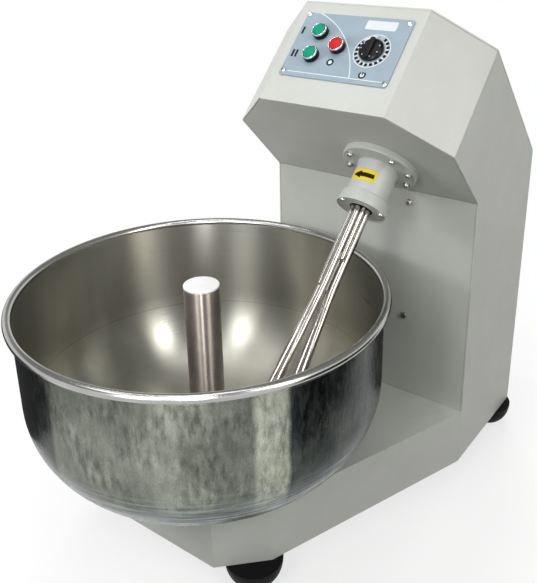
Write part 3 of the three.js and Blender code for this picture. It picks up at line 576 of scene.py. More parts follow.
def capOpenEnds(shape):
    bmesh.ops.holes_fill(shape, edges=[line for line in shape.edges if line.is_boundary])
    bmesh.ops.recalc_face_normals(shape, faces=shape.faces)
    return shape


def pullFaces(shape, height):
    # the drawing's faces move up or down and draw walls behind them
    made = bmesh.ops.extrude_face_region(shape, geom=shape.faces[:])
    pulled = [item for item in made["geom"] if isinstance(item, bmesh.types.BMVert)]
    bmesh.ops.translate(shape, verts=pulled, vec=(0, 0, height))


def plateShape(points, lift, height, rounding=0.0):
    # a polygon at a height, its corners rounded, made into a plate
    shape = bmesh.new()
    corners = [shape.verts.new((x, y, lift)) for x, y in points]
    for pair in zip(corners, corners[1:] + corners[:1]):
        shape.edges.new(pair)
    if rounding:
        roundCorners(shape, corners, rounding, cornerSteps["plate"], True)
    bmesh.ops.contextual_create(shape, geom=shape.edges[:])
    pullFaces(shape, height)
    return capOpenEnds(shape)


def boxPoints(width, height, x=0.0, y=0.0):
    left, right = x - width / 2, x + width / 2
    bottom, top = y - height / 2, y + height / 2
    return [(left, bottom), (right, bottom), (right, top), (left, top)]


def arcShape(inner, outer, start, end, lift, height):
    # part of a flat ring between two angles in degrees, with a step at about every fourth degree
    shape = bmesh.new()
    corners = [shape.verts.new((x, 0, z)) for x, z in
               ((inner, lift), (outer, lift), (outer, lift + height), (inner, lift + height))]
    shape.faces.new(corners)
    startTurn = Matrix.Rotation(math.radians(start), 3, "Z")
    bmesh.ops.rotate(shape, verts=corners, cent=(0, 0, 0), matrix=startTurn)
    steps = max(2, round(abs(end - start) / 4))
    bmesh.ops.spin(shape, geom=shape.faces[:], cent=(0, 0, 0), axis=(0, 0, 1), dvec=(0, 0, 0),
                   angle=math.radians(end - start), steps=steps, use_merge=False)
    return capOpenEnds(shape)


def ringShape(inner, outer, lift, height, steps=64):
    top = lift + height
    return spinProfile([(inner, lift), (outer, lift), (outer, top), (inner, top), (inner, lift)], steps)


def curveMesh(curve):
    made = bpy.data.objects.new(curve.name, curve)
    mesh = bpy.data.meshes.new_from_object(made)
    bpy.data.objects.remove(made)
    return mesh


def letterShape(letters, size, lift, height):
    # printed characters as a thin raised mesh
    curve = bpy.data.curves.new("letters", "FONT")
    curve.body = letters
    curve.size = size
    curve.extrude = height / 2
    curve.align_x = "CENTER"
    curve.align_y = "CENTER"
    curve.resolution_u = 3
    mesh = curveMesh(curve)
    shape = bmesh.new()
    shape.from_mesh(mesh)
    bpy.data.meshes.remove(mesh)
    bmesh.ops.translate(shape, verts=shape.verts, vec=(0, 0, lift + height / 2))
    return shape


def bentAround(shape, radius, cuts):
    # a flat drawing laid on a cylinder: x runs around it, y along its axis
    for x in cuts:
        bmesh.ops.bisect_plane(shape, geom=shape.verts[:] + shape.edges[:] + shape.faces[:],
                               plane_co=(x, 0, 0), plane_no=(1, 0, 0))
    for corner in shape.verts:
        turn = corner.co.x / radius
        reach = radius + corner.co.z
        corner.co = (reach * math.cos(turn), reach * math.sin(turn), corner.co.y)
    return shape


# Cabinet: copies of the folded sheets with eased edges

cabinet = {
    "edge": 0.6,
    "fold": 2.6,
    "foldSteps": 4,
    "sheets": ["base_shell", "left_side_panel", "right_side_panel", "column_front_panel", "rear_cover",
               "head_underside_panel", "control_face_shell", "top_cover"],
}
for sheetName in cabinet["sheets"]:
    dressNode(sheetName, paint, "frame", cabinet["edge"], cabinet["fold"], cabinet["foldSteps"])
dressNode("bottom_plate", platedSteel, "frame", cabinet["edge"])
print("cabinet made")


# Bowl: spun shell with a rolled bead

bowl = {"radius": 300.0, "bottom": 165.0, "corner": 150.0, "wall": 2.0, "bead": 7.3, "beadAt": 304.3,
        "rim": 460.0, "hem": 445.0, "hemDepth": 1.8, "hemHeight": 6.0, "hemSlope": 1.5, "hemEdge": 1.0,
        "steps": 192, "cornerSteps": 26, "beadSteps": 20}


def makeBowl(size):
    outer, inner = size["radius"], size["radius"] - size["wall"]
    floor = size["bottom"] + size["wall"]
    hemReach, hemTop = outer + size["hemDepth"], size["hem"] + size["hemHeight"]
    shell = spinProfile([
        (0, size["bottom"]),
        (outer, size["bottom"], size["corner"], size["cornerSteps"]),
        (outer, size["hem"]),
        (hemReach, size["hem"] + size["hemSlope"], size["hemEdge"]),
        (hemReach, hemTop - size["hemSlope"], size["hemEdge"]),
        (outer, hemTop),
        (outer, size["rim"]),
        (inner, size["rim"]),
        (inner, floor, size["corner"] - size["wall"], size["cornerSteps"]),
        (0, floor),
    ], size["steps"])
    for face in shell.faces:
        middle = face.calc_center_median()
        outward = Vector((middle.x, middle.y, 0)).normalized() - Vector((0, 0, 1))
        face.material_index = 1 if face.normal.dot(outward) > 0 else 0
    bead = bmesh.new()
    bmesh.ops.create_circle(bead, segments=size["beadSteps"], radius=size["bead"], cap_ends=False)
    moved(bead, placeAt(size["beadAt"], 0, size["rim"], 90))
    for face in spinClosed(bead, size["steps"]).faces:
        face.material_index = 2
    finishPiece("bowlShell", joinShapes([shell, bead]), bowlPlace, [bowlInside, bowlOutside, beadSteel],
                "bowl", ["bowl_shell"])


makeBowl(bowl)

pin = {"radius": 30.0, "foot": 170.6, "top": 472.0, "wall": 3.0, "edge": 1.6, "cap": 4.0, "groove": 0.5}
capFoot = pin["top"] - pin["cap"]
grooveRadius = pin["radius"] - pin["groove"]
spinPiece("centrePin", [
    (pin["radius"] - pin["wall"], pin["foot"]), (pin["radius"], pin["foot"]),
    (pin["radius"], capFoot - pin["groove"]), (grooveRadius, capFoot), (pin["radius"] - pin["wall"], capFoot),
], bowlPlace, pinSteel, "bowl", ["centre_pin"])
# the cap's near-white top is a painted reflection
spinPiece("centrePinCap", [
    (0, capFoot), (grooveRadius, capFoot), (pin["radius"], capFoot + pin["groove"]),
    (pin["radius"], pin["top"], pin["edge"]), (0, pin["top"]),
], bowlPlace, pinTopPaintedSheen, "bowl")

boss = {"radius": 71.0, "foot": 167.3, "height": 7.0, "edge": 3.0, "hole": 30.3, "holeDepth": 4.0}
bossTop = boss["foot"] + boss["height"]
holeFloor = bossTop - boss["holeDepth"]
spinPiece("centrePinBoss", [
    (0, boss["foot"]), (boss["radius"], boss["foot"]), (boss["radius"], bossTop, boss["edge"]),
    (boss["hole"], bossTop), (boss["hole"], holeFloor), (0, holeFloor),
], bowlPlace, pinSteel, "bowl", ["centre_pin_boss"])
print("bowl made")


# Agitator: two long loops of round bar and four short bars welded between their legs

whisk = {"bar": 6.0, "barSteps": 6, "circle": 12.0, "top": 89.3, "release": 245.0, "straight": 14.0,
         "lean": 0.25, "half": 34.0, "reach": 594.0, "nested": 12.3, "endSteps": 16, "smoothAngle": 50,
         "stub": 4.0, "stubEdge": 1.2, "stubSteps": 20, "stubCircle": 14.32,
         "stubEnds": (189.0, 251.0, 225.0, 238.0)}


def loopPoints(size, reach):
    # one leg of a U from its top, then the round end, then the other leg
    leg = [
        (size["circle"], -size["top"]),
        (size["circle"], -size["release"] + size["straight"]),
        (size["circle"] + size["lean"], -size["release"]),
    ]
    bend = []
    for i in range(size["endSteps"] + 1):
        turn = math.pi * i / size["endSteps"]
        bend.append((size["half"] * math.cos(turn), -reach + size["half"] * (1 - math.sin(turn))))
    return leg + bend + [(-x, z) for x, z in reversed(leg)]


def loopPiece(name, size, reach, place, node):
    curve = bpy.data.curves.new(name, "CURVE")
    curve.dimensions = "3D"
    curve.bevel_depth = size["bar"] * millimetre
    curve.bevel_resolution = size["barSteps"]
    curve.use_fill_caps = True
    points = loopPoints(size, reach)
    spline = curve.splines.new("POLY")
    spline.points.add(len(points) - 1)
    for target, (x, z) in zip(spline.points, points):
        target.co = (place @ Vector((x, 0, z)) * millimetre).to_4d()
    mesh = curveMesh(curve)
    mesh.name = name
    mesh.shade_smooth()
    mesh.set_sharp_from_angle(angle=math.radians(size["smoothAngle"]))
    addPiece(name, mesh, [toolSteelPaintedReflections], "agitator", [node])


loopPiece("outerWhiskLoop", whisk, whisk["reach"], toolPlace, "outer_whisk_loop")
loopPiece("innerWhiskLoop", whisk, whisk["reach"] - whisk["nested"], toolPlace @ turnedPlace(90),
          "inner_whisk_loop")

welds = {"radius": 2.1, "length": 1.5, "rough": 0.28, "grain": 0.9, "inward": 1.4, "between": 4.6,
         "heights": (1.5, 5.5, 9.0)}


def weldLump(size):
    # a short ragged run of weld
    lump = bmesh.new()
    bmesh.ops.create_icosphere(lump, subdivisions=3, radius=size["radius"])
    for corner in lump.verts:
        corner.co += corner.normal * size["radius"] * size["rough"] * wobble.noise(corner.co * size["grain"])
    bmesh.ops.scale(lump, vec=(1, 1, size["length"]), verts=lump.verts)
    return lump


for index, stubEnd in enumerate(whisk["stubEnds"]):
    number = str(index + 1)
    stubPlace = toolPlace @ turnedPlace(90 * index - 45, whisk["stubCircle"])
    spinPiece("stubBar" + number, [
        (0, -stubEnd), (whisk["stub"], -stubEnd, whisk["stubEdge"]), (whisk["stub"], -whisk["top"]),
        (0, -whisk["top"]),
    ], stubPlace, toolSteelPaintedReflections, "agitator", ["stub_bar_" + number], whisk["stubSteps"])
    lumps = joinShapes([
        moved(weldLump(welds), Matrix.Translation((-welds["inward"], side, -stubEnd + height)))
        for side in (-welds["between"], welds["between"]) for height in welds["heights"]
    ])
    finishPiece("stubWeld" + number, lumps, stubPlace, [weldSteel], "agitator",
                smoothAngle=None)
dressNode("agitator_shaft", shaftSteel, "agitator", edge=0.4)
print("agitator made")


# Screws: each is its head's radius and height, the dome on its edge and its hexagon socket's radius

screwHead = {"steps": 32, "domeSteps": 6, "socketRoom": 1.15, "socketDepth": 0.55, "turnedIn": 0.01,
             "nearTop": 0.005}


def screwShape(radius, height, dome, socket):
    # a round head standing up from z 0
    opening = socket * screwHead["socketRoom"]
    body = spinProfile([
        (0, 0), (radius, 0), (radius, height, dome, screwHead["domeSteps"]), (opening, height),
        (opening, height - screwHead["turnedIn"]),
    ], screwHead["steps"])
    middles = [(face, face.calc_center_median()) for face in body.faces]
    covered = [face for face, middle in middles
               if abs(middle.z - height) < screwHead["nearTop"] and middle.to_2d().length < opening]
    bmesh.ops.delete(body, geom=covered, context="FACES")
    hollow = bmesh.new()
    bmesh.ops.create_circle(hollow, segments=6, radius=socket, cap_ends=True)
    bmesh.ops.translate(hollow, verts=hollow.verts, vec=(0, 0, height))
    pullFaces(hollow, -height * screwHead["socketDepth"])
    bmesh.ops.reverse_faces(hollow, faces=hollow.faces)
    return joinShapes([body, hollow])


def screwPiece(name, screw, spots, place, material):
    # one screw at every spot, all as one piece
    heads = joinShapes([moved(screwShape(*screw), spot) for spot in spots])
    finishPiece(name, heads, place, [material], "frame")


# Bearing housing under the head and the collar below it

downwards = Matrix.Rotation(math.pi, 4, "X")
housing = {"flange": 67.0, "thickness": 13.0, "neck": 36.0, "neckEnd": -71.0, "bore": 31.3, "edge": 2.5,
           "neckEdge": 0.8, "backEdge": 0.6, "fillet": 3.5, "gap": 0.3, "spigot": 3.0, "steps": 128,
           "bolt": (6.0, 6.0, 3.0, 2.6), "boltCircle": 56.5, "bolts": 8, "noBolt": 6}
spigotRadius = housing["neck"] - housing["gap"]
spinPiece("bearingHousing", [
    (housing["bore"], housing["neckEnd"]), (housing["neck"], housing["neckEnd"], housing["neckEdge"]),
    (housing["neck"], -housing["thickness"], housing["fillet"]),
    (housing["flange"], -housing["thickness"], housing["edge"]),
    (housing["flange"], -housing["gap"], housing["backEdge"]), (spigotRadius, -housing["gap"]),
    (spigotRadius, housing["spigot"]), (housing["bore"], housing["spigot"]),
    (housing["bore"], housing["neckEnd"]),
], toolPlace, castPaint, "frame", ["bearing_housing"], housing["steps"])
screwPiece("flangeScrews", housing["bolt"], [
    turnedPlace(360 * index / housing["bolts"], housing["boltCircle"], 0, -housing["thickness"]) @ downwards
    for index in range(housing["bolts"]) if index != housing["noBolt"]
], toolPlace, platedSteel)

collar = {"top": 41.5, "radius": 44.0, "height": 23.0, "lip": 2.0, "throat": 20.4, "gap": 0.3,
          "innerEdge": 0.6, "outerEdge": 0.9, "screw": (5.0, 4.4, 2.2, 2.2), "screwCircle": 37.3,
          "screws": (-128.0, 3.0, 120.0)}
collarEnd = housing["neckEnd"] - collar["height"]
collarFloor = collarEnd + collar["lip"]
collarTop = housing["neckEnd"] - collar["gap"]
insideLip = collar["radius"] - collar["lip"]
spinPiece("sealCollar", [
    (collar["throat"], collarFloor, collar["innerEdge"]), (insideLip, collarFloor),
    (insideLip, collarEnd, collar["innerEdge"]), (collar["radius"], collarEnd, collar["outerEdge"]),
    (collar["top"], housing["neckEnd"] - collar["lip"]), (collar["top"] - collar["lip"], collarTop),
    (collar["throat"], collarTop), (collar["throat"], collarFloor),
], toolPlace, castPaint, "frame", ["seal_collar"])
screwPiece("collarScrews", collar["screw"], [
    turnedPlace(turn, collar["screwCircle"], 0, collarFloor) @ downwards for turn in collar["screws"]
], toolPlace, chrome)

# a black rubber seal lining the collar's throat, where it also stands for the throat's shade: partly painted
# shade
throatSealPaintedShade = {"bore": 18.8, "radius": 20.3, "foot": 1.6, "top": 4.0, "edge": 0.3}
sealFoot, sealTop = collarEnd + throatSealPaintedShade["foot"], collarEnd + throatSealPaintedShade["top"]
spinPiece("throatSealPaintedShade", [
    (throatSealPaintedShade["bore"], sealFoot, throatSealPaintedShade["edge"]), (throatSealPaintedShade["radius"], sealFoot),
    (throatSealPaintedShade["radius"], sealTop), (throatSealPaintedShade["bore"], sealTop), (throatSealPaintedShade["bore"], sealFoot),
], toolPlace, rubber, "frame", steps=64)

# arrow label on the neck, drawn flat: x is the way around in degrees
arrow = {"label": (-133.0, -56.0, -54.5, -34.0), "cuts": (-132, -54, 3), "tip": -129.6, "neck": -100.0,
         "tail": -61.5, "middle": -44.4, "head": 6.9, "shaft": 3.9, "lift": 0.02, "film": 0.12, "ink": 0.08,
         "rounding": 3.0}


def wayAround(turn):
    return math.radians(turn) * housing["neck"]


def labelPiece(name, shape, material):
    cuts = [wayAround(turn) for turn in range(*arrow["cuts"])]
    finishPiece(name, bentAround(shape, housing["neck"], cuts), toolPlace, [material], "frame")


left, right, low, high = arrow["label"]
left, right = wayAround(left), wayAround(right)
labelPiece("arrowLabel", plateShape([(left, low), (right, low), (right, high), (left, high)], arrow["lift"],
                                    arrow["film"], arrow["rounding"]), yellowFilm)
tip, neck, tail = (wayAround(arrow[key]) for key in ("tip", "neck", "tail"))
headLow, headHigh = arrow["middle"] - arrow["head"], arrow["middle"] + arrow["head"]
shaftLow, shaftHigh = arrow["middle"] - arrow["shaft"], arrow["middle"] + arrow["shaft"]
labelPiece("arrowPrint", plateShape([
    (tip, arrow["middle"]), (neck, headLow), (neck, shaftLow), (tail, shaftLow), (tail, shaftHigh),
    (neck, shaftHigh), (neck, headHigh),
], arrow["film"], arrow["ink"]), blackInk)
print("tool head made")


# Screws of the column, the covers and the bottom plate

columnBolts = {"across": 182.55, "front": 189.8, "heights": (322.0, 552.0), "screw": (6.2, 4.6, 3.0, 2.4)}
for index, height in enumerate(columnBolts["heights"]):
    screwPiece("columnBolt" + str(index + 1), columnBolts["screw"], [Matrix.Identity(4)],
               placeAt(columnBolts["across"], columnBolts["front"], height, 90), platedSteel)

coverScrews = {
    "screw": (4.5, 2.4, 1.6, 1.8),
    "back": 447.8,
    "backAcross": (-95, 300),
    "backHeights": (62, 245, 425, 590),
    "slope": 1054.0,  # height and depth of the sloping top add up to this
    "slopeSpots": ((0, 180), (205, 180), (-92, 245), (297, 245), (-92, 425), (297, 425)),
    "plate": 43.0,
    "plateSpots": ((-60, -240), (60, -240), (-80, 90), (240, 90), (-60, 425), (240, 425)),
}
coverSpots = {
    "rearScrews": [placeAt(x, coverScrews["back"], z, -90)
                   for x in coverScrews["backAcross"] for z in coverScrews["backHeights"]],
    "topScrews": [placeAt(x, y, coverScrews["slope"] - y, -45) for x, y in coverScrews["slopeSpots"]],
    "bottomScrews": [placeAt(x, y, coverScrews["plate"], 180) for x, y in coverScrews["plateSpots"]],
}
for coverName, spots in coverSpots.items():
    screwPiece(coverName, coverScrews["screw"], spots, Matrix.Identity(4), platedSteel)
print("screws made")


# Feet

foot = {"radius": 49.0, "sole": 18.0, "height": 42.7, "lip": 1.5, "steps": 14, "hole": 5.3, "depth": 17.0}


def footProfile(size):
    points = [(0, 0), (size["sole"], 0)]
    for i in range(1, size["steps"] + 1):
        turn = math.pi / 2 * i / size["steps"]
        points.append((size["sole"] + (size["radius"] - size["sole"]) * math.sin(turn),
                       size["height"] * (1 - math.cos(turn))))
    return points + [(size["radius"] - size["lip"], size["height"]), (size["hole"], size["height"]),
                     (size["hole"], size["depth"]), (0, size["depth"])]


for corner in ("front_left", "front_right", "rear_left", "rear_right"):
    footMiddle = middleOf("foot_" + corner)
    spinPiece("foot_" + corner + "Piece", footProfile(foot), placeAt(footMiddle.x, footMiddle.y), rubber,
              "frame", ["foot_" + corner], steps=64)
    dressNode("foot_stud_" + corner, platedSteel, "frame", edge=0.3)
print("feet made")


# Control panel with its buttons, timer and printed marks

dressNode("control_panel", panelAluminium, "frame", edge=0.4)
panel = {"front": 2.3, "print": 0.12, "screw": (5.0, 3.2, 2.9, 2.2),
         "screws": [(-98, 175.5), (95.5, 171.5), (-97, 58.5), (98, 56)]}
front, printed = panel["front"], panel["print"]
pushButton = {"hole": 11.3, "radius": 14.0, "chromed": 13.5, "inside": 11.9, "top": 14.3, "ring": 3.0,
              "foot": 2.6, "cap": 10.9, "capTop": 14.7, "capFoot": 11.1, "capRise": 0.5, "barrel": 11.0,
              "barrelEnd": -18.0, "stem": 6.0, "stemRoom": 0.4, "floor": 7.3, "footEdge": 0.4,
              "bezelEdge": 0.8, "ringEdge": 0.9, "ringInsideEdge": 0.5, "capEdge": 0.9}
buttons = {"start_one": (startGreen, "start_green"), "start_two": (startGreen, "start_green"),
           "stop": (stopRed, "stop_red")}


def makeButton(name, material, size):
    middle = panelPlace.inverted() @ middleOf(name + "_button")
    place = panelPlace @ Matrix.Translation((middle.x, middle.y, 0))
    shoulder = size["top"] - size["ring"]
    bore, end = size["stem"] + size["stemRoom"], size["barrelEnd"]
    spinPiece(name + "_bezelPiece", [
        (bore, end), (size["barrel"], end), (size["barrel"], size["foot"]),
        (size["radius"], size["foot"], size["footEdge"]), (size["radius"], shoulder, size["bezelEdge"]),
        (size["hole"], shoulder), (size["hole"], size["floor"]), (bore, size["floor"]), (bore, end),
    ], place, blackPlastic, "frame", [name + "_bezel"], steps=64)
    spinPiece(name + "_ring", [
        (size["inside"], shoulder), (size["chromed"], shoulder),
        (size["chromed"], size["top"], size["ringEdge"]),
        (size["inside"], size["top"], size["ringInsideEdge"]), (size["inside"], shoulder),
    ], place, chrome, "frame", steps=64)
    spinPiece(name + "_capPiece", [
        (0, end), (size["stem"], end), (size["stem"], size["capFoot"]), (size["cap"], size["capFoot"]),
        (size["cap"], size["capTop"] - size["capRise"], size["capEdge"]), (0, size["capTop"]),
    ], place, material, name, [name + "_button"], steps=64)
    dressNode(name + "_contact_block", contactPlastic, "frame")


for buttonName, (buttonMaterial, buttonSlot) in buttons.items():
    makeButton(buttonName, buttonMaterial, pushButton)

dial = {"x": 50.5, "y": 114.5, "top": 10.3, "dot": 1.1, "dotHeight": 0.25, "dotEdge": 0.1, "dotSunk": 0.05,
        "dotCircle": 16.2, "dots": (80, 23, -22, -72, 234, 184, 150), "blocks": 16, "firstBlock": 35,
        "step": 18, "blockRounding": 0.8, "zeroTurn": 6, "zeroSize": 5.4, "zeroInk": 0.08,
        "black": {"size": 5.4, "circle": 27.4, "layers": 1.6, "offset": 0},
        "white": {"size": 4.0, "circle": 25.6, "layers": 1.4, "offset": 0.5},
        "grey": (22.2, 30.4), "greyLayers": 0.8}
dialPlace = panelPlace @ Matrix.Translation((dial["x"], dial["y"], 0))
dressNode("timer_body", contactPlastic, "frame", edge=0.6)
dressNode("timer_knob", blackPlastic, "timer", edge=0.8, segments=3)
dotProfile = [(0, 0), (dial["dot"], 0), (dial["dot"], dial["dotHeight"], dial["dotEdge"]),
              (0, dial["dotHeight"])]
dots = joinShapes([
    moved(spinProfile(dotProfile, steps=16),
          turnedPlace(turn, dial["dotCircle"], 0, dial["top"] - dial["dotSunk"]))
    for turn in dial["dots"]
])
finishPiece("knobDots", dots, dialPlace, [whiteInk], "timer")

screwPiece("panelScrews", panel["screw"], [Matrix.Translation((x, y, front)) for x, y in panel["screws"]],
           panelPlace, chrome)

# a plate is width, height and middle; a ring is its radii, an arc its radii and ends; layers are of print
marks = {
    "ticks": [(4.0, 14.6, -96, 142), (4.0, 14.6, -94.6, 94.7), (4.0, 14.6, -87.6, 94.7)],
    "round": {"at": (-15, 84.4), "black": (3.7, 6.7), "white": (0.1, 3.6)},
    "power": {"at": (52.9, 67.7), "black": (3.9, 6.7, -230, 60), "white": (0.1, 3.8)},
    "powerBar": (2.2, 6.5, 52.9, 70.5),
    "powerBarLayers": 2,
    "line": (182, 1.5, 3, 58.8),
    "sticker": (57, 18, 47.8, 164),
    "stickerRounding": 2.5,
    "stickerLayers": 3,
    "sweep": {"at": (-140.6, 12.2), "white": (178.3, 179.9, 15.4, 69.2)},
    "dialRing": (31.0, 32.4),
    "dialSweep": (23.6, 29.8, 95, 148),
    "dialSweepLayers": 1.6,
}
roundMark, power, sweep = marks["round"], marks["power"], marks["sweep"]
finishPiece("panelBlackMarks", joinShapes(
    [plateShape(boxPoints(*tick), front, printed) for tick in marks["ticks"]]
    + [slid(ringShape(*roundMark["black"], front, printed), *roundMark["at"]),
       slid(arcShape(*power["black"], front, printed), *power["at"]),
       plateShape(boxPoints(*marks["powerBar"]), front, printed * marks["powerBarLayers"])]
), panelPlace, [blackInk], "frame")
finishPiece("panelWhiteMarks", joinShapes([
    slid(arcShape(*sweep["white"], front, printed), *sweep["at"]),
    plateShape(boxPoints(*marks["line"]), front, printed),
    plateShape(boxPoints(*marks["sticker"]), front, printed * marks["stickerLayers"],
               marks["stickerRounding"]),
    slid(ringShape(*roundMark["white"], front, printed, steps=32), *roundMark["at"]),
    slid(ringShape(*power["white"], front, printed, steps=32), *power["at"]),
    slid(ringShape(*marks["dialRing"], front, printed), dial["x"], dial["y"]),
    slid(arcShape(*marks["dialSweep"], front, printed * marks["dialSweepLayers"]), dial["x"], dial["y"]),
]), panelPlace, [whiteInk], "frame")
finishPiece("dialRing", ringShape(*dial["grey"], front, printed * dial["greyLayers"]), dialPlace, [dialGrey],
            "frame")


def dialSquares(size):
    # squares standing around the dial, clockwise from the top
    turns = [dial["firstBlock"] + dial["step"] * (index + size["offset"]) for index in range(dial["blocks"])]
    return joinShapes([
        moved(plateShape(boxPoints(size["size"], size["size"]), front, printed * size["layers"],
                         dial["blockRounding"]), turnedPlace(-turn, 0, size["circle"]))
        for turn in turns
    ])


finishPiece("dialBlocks", dialSquares(dial["black"]), dialPlace, [blackInk], "frame")
finishPiece("dialSquares", dialSquares(dial["white"]), dialPlace, [whiteInk], "frame")
zeroTurn, zeroReach = math.radians(dial["zeroTurn"]), dial["black"]["circle"]
zero = letterShape("0", dial["zeroSize"], front + printed, dial["zeroInk"])
finishPiece("dialZero", slid(zero, zeroReach * math.sin(zeroTurn), zeroReach * math.cos(zeroTurn)), dialPlace,
            [blackInk], "frame")
print("controls made")


# Drive inside the cabinet

driveNodes = [
    ("lower_tool_bearing", shaftSteel, "frame", "tool_stainless"),
    ("upper_tool_bearing", shaftSteel, "frame", "tool_stainless"),
    ("tool_gearbox", gearboxIron, "frame", "gearbox_iron"),
    ("motor_gearhead", gearboxIron, "frame", "gearbox_iron"),
    ("motor_body", motorPaint, "frame", "motor_paint"),
    ("motor_fan_cover", motorTrim, "frame", "motor_trim"),
    ("motor_terminal_box", motorTrim, "frame", "motor_trim"),
    ("tool_belt", beltRubber, "frame", "belt_rubber"),
    ("bowl_belt", beltRubber, "frame", "belt_rubber"),
    ("bowl_gearbox", gearboxIron, "frame", "gearbox_iron"),
    ("bowl_bearing_housing", gearboxIron, "frame", "gearbox_iron"),
    ("bowl_bearing", shaftSteel, "frame", "plated_steel"),
    ("bowl_carrier", shaftSteel, "bowl", "bowl_stainless"),
    ("motor_shaft", platedSteel, "motor_drive", "plated_steel"),
    ("motor_pulley", platedSteel, "motor_drive", "plated_steel"),
    ("tool_input_shaft", platedSteel, "tool_drive", "plated_steel"),
    ("tool_pulley", platedSteel, "tool_drive", "plated_steel"),
    ("bowl_input_shaft", platedSteel, "bowl_drive", "plated_steel"),
    ("bowl_pulley", platedSteel, "bowl_drive", "plated_steel"),
]
for nodeName, nodeMaterial, nodeBody, nodeSlot in driveNodes:
    dressNode(nodeName, nodeMaterial, nodeBody, edge=0.4)
print("drive made")


# Floor, world and lamps, in metres

def seenBy(tree, first, *others):
    # 1 for the named kinds of rays
    rays = addNode(tree, "LightPath").outputs
    share = rays[first]
    for other in others:
        share = calculate(tree, "MAXIMUM", share, rays[other])
    return share


def aimedPlace(settings):
    aim = Vector(settings["aim"]) - Vector(settings["location"])
    return Matrix.Translation(settings["location"]) @ aim.to_track_quat("-Z", "Y").to_matrix().to_4x4()


def stageCard(name, size, place, material):
    shape = bmesh.new()
    bmesh.ops.create_grid(shape, x_segments=1, y_segments=1, size=0.5)
    bmesh.ops.scale(shape, vec=(*size, 1), verts=shape.verts)
    bmesh.ops.transform(shape, matrix=place, verts=shape.verts)
    mesh = bpy.data.meshes.new(name)
    shape.to_mesh(mesh)
    shape.free()
    mesh.materials.append(material)
    return newObject(name, mesh)


floorSettings = {
    "size": (24, 24),
    "tones": ((250, 250, 250), (248, 248, 248)),
    "patchScale": 0.002,
    "bounceTone": (120, 120, 118),  # darker where neither the camera nor a mirror sees the floor
    "roughness": 0.9,
    "gloss": 0.1,
    "glow": (0.68, 1, 450, 1200),  # its share near and far, and those distances in millimetres
}


def makeFloor(settings):
    material, tree, shader = startMaterial("paleFloor")
    vector = localCoordinates(tree)
    first, second = (linear(*tone) for tone in settings["tones"])
    tone = blend(tree, spread(tree, noise(tree, vector, settings["patchScale"]), 0, 1), first, second)
    seen = seenBy(tree, "Is Camera Ray", "Is Glossy Ray")
    tree.links.new(blend(tree, seen, linear(*settings["bounceTone"]), tone), shader.inputs["Base Color"])
    shader.inputs["Roughness"].default_value = settings["roughness"]
    shader.inputs["Specular IOR Level"].default_value = settings["gloss"]
    glow = addNode(tree, "Emission", {"Color": (1, 1, 1, 1), "Strength": 1.0})
    distance = vectorMath(tree, "LENGTH", {0: vector}, "Value")
    far = spread(tree, distance, *settings["glow"])
    share = calculate(tree, "MULTIPLY", far, seen)
    mixed = addNode(tree, "MixShader", {0: share, 1: shader.outputs["BSDF"], 2: glow.outputs["Emission"]})
    tree.links.new(mixed.outputs["Shader"], tree.nodes["Material Output"].inputs["Surface"])
    floor = stageCard("floor", settings["size"], Matrix.Identity(4), material)


def makeWorld(settings):
    world = bpy.data.worlds.new("studio")
    world.use_nodes = True
    bpy.context.scene.world = world
    tree = world.node_tree
    background = tree.nodes["Background"]
    seen = seenBy(tree, "Is Camera Ray", "Is Glossy Ray", "Is Transmission Ray")
    tree.links.new(blend(tree, seen, settings["ambient"], (1, 1, 1, 1)), background.inputs["Color"])
    background.inputs["Strength"].default_value = 1.0


def addLamp(name, settings):
    data = bpy.data.lights.new(name, "AREA")
    data.shape = "RECTANGLE"
    data.size, data.size_y = settings["size"]
    data.energy = settings["power"]
    data.color = settings["colour"]
    lamp = newObject(name, data)
    lamp.visible_glossy = settings.get("mirrored", True)
    lamp.matrix_world = aimedPlace(settings)


def addFlag(name, settings):
    # a dark or bright card that only mirrors see, as in a photographer's studio
    material, tree = startMaterial(name)[:2]
    tone = addNode(tree, "Emission", {"Color": settings["tone"], "Strength": 1.0})
    tree.links.new(tone.outputs["Emission"], tree.nodes["Material Output"].inputs["Surface"])
    flag = stageCard(name, settings["size"], aimedPlace(settings), material)
    for ray in ("camera", "diffuse", "shadow", "transmission", "volume_scatter"):
        setattr(flag, "visible_" + ray, False)


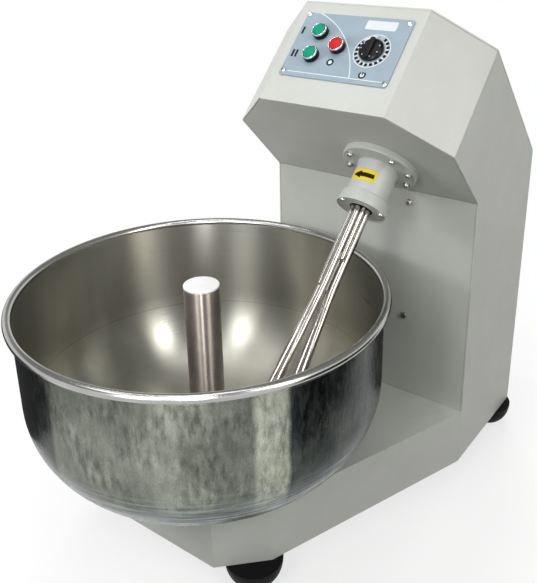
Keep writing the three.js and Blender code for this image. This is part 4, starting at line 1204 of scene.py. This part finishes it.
lamps = {
    "highLamp": {"location": (-1.0, -1.5, 3.2), "aim": (0, 0, 0.45), "size": (1.0, 1.0), "power": 11,
                 "colour": (1, 1, 1)},
    "firstTube": {"location": (-0.2, -0.2, 3.0), "aim": (-0.2, -0.2, 0), "size": (3.0, 0.14), "power": 11,
                  "colour": (1, 1, 0.98)},
    "secondTube": {"location": (0.12, -1.2, 3.0), "aim": (0.12, -1.2, 0), "size": (0.16, 2.6), "power": 12,
                   "colour": (0.99, 1, 1)},
    "frontLamp": {"location": (0.2, -2.6, 2.9), "aim": (0, 0, 0.45), "size": (1.7, 1.0), "power": 8,
                  "colour": (1, 1, 0.98)},
    "rightLamp": {"location": (2.4, -0.6, 2.2), "aim": (0, 0, 0.45), "size": (0.5, 0.9), "power": 15,
                  "colour": (1, 1, 0.98)},
    "nearLamp": {"location": (-1.0, -0.9, 0.95), "aim": (0, 0, 0.45), "size": (0.5, 0.3), "power": 7,
                 "colour": (0.98, 0.99, 1), "mirrored": False},
    "rearLamp": {"location": (-0.8, 2.6, 1.9), "aim": (0, 0.3, 0.5), "size": (1.4, 1.0), "power": 38,
                 "colour": (1, 1, 0.99), "mirrored": False},
    "windowLamp": {"location": (0.27, -1.94, 1.42), "aim": (-0.1, 0.0, 0.3), "size": (0.34, 0.9),
                   "power": 7.5, "colour": (1, 1, 0.98)},
    "sideLamp": {"location": (2.0, -0.36, 0.94), "aim": (-0.1, 0.0, 0.3), "size": (0.34, 0.8),
                 "power": 4.6, "colour": (1, 1, 0.98)},
}
flags = {
    "ceilingFlag": {"location": (0, 0, 3.4), "aim": (0, 0, 0), "size": (11.5, 11.5),
                    "tone": (0.3, 0.3, 0.29, 1)},
    "windowCard": {"location": (0.28, -1.97, 1.36), "aim": (-0.1, 0.0, 0.3), "size": (0.7, 1.5),
                   "tone": (4.3, 4.3, 4.2, 1)},
    "pinCard": {"location": (0.37, -0.64, 0.8), "aim": (-0.016, -0.151, 0.8), "size": (0.08, 0.6),
                "tone": (24, 24, 24, 1)},
    "sideCard": {"location": (2.06, -0.37, 0.98), "aim": (-0.1, 0.0, 0.3), "size": (0.6, 1.2),
                 "tone": (3.6, 3.4, 2.7, 1)},
    "rightCard": {"location": (2.45, -0.62, 2.24), "aim": (0, 0, 0.45), "size": (0.9, 1.4),
                  "tone": (4, 4, 3.9, 1)},
    "leftFlag": {"location": (-0.5, -0.33, 0.15), "aim": (0, -0.33, 0.15), "size": (0.8, 0.56),
                 "tone": (0.07, 0.07, 0.07, 1)},
    "backFlag": {"location": (0.12, 0.18, 0.31), "aim": (0.12, -1, 0.31), "size": (0.44, 0.29),
                 "tone": (0.05, 0.05, 0.048, 1)},
    "rightFlag": {"location": (0.64, 0.18, 0.24), "aim": (0, 0.18, 0.24), "size": (0.85, 0.46),
                  "tone": (0.03, 0.03, 0.028, 1)},
}
makeFloor(floorSettings)
makeWorld({"ambient": (0.31, 0.31, 0.305, 1)})
for lampName, lampSettings in lamps.items():
    addLamp(lampName, lampSettings)
for flagName, flagSettings in flags.items():
    addFlag(flagName, flagSettings)
bpy.context.scene.view_settings.view_transform = "Standard"
print("stage made")
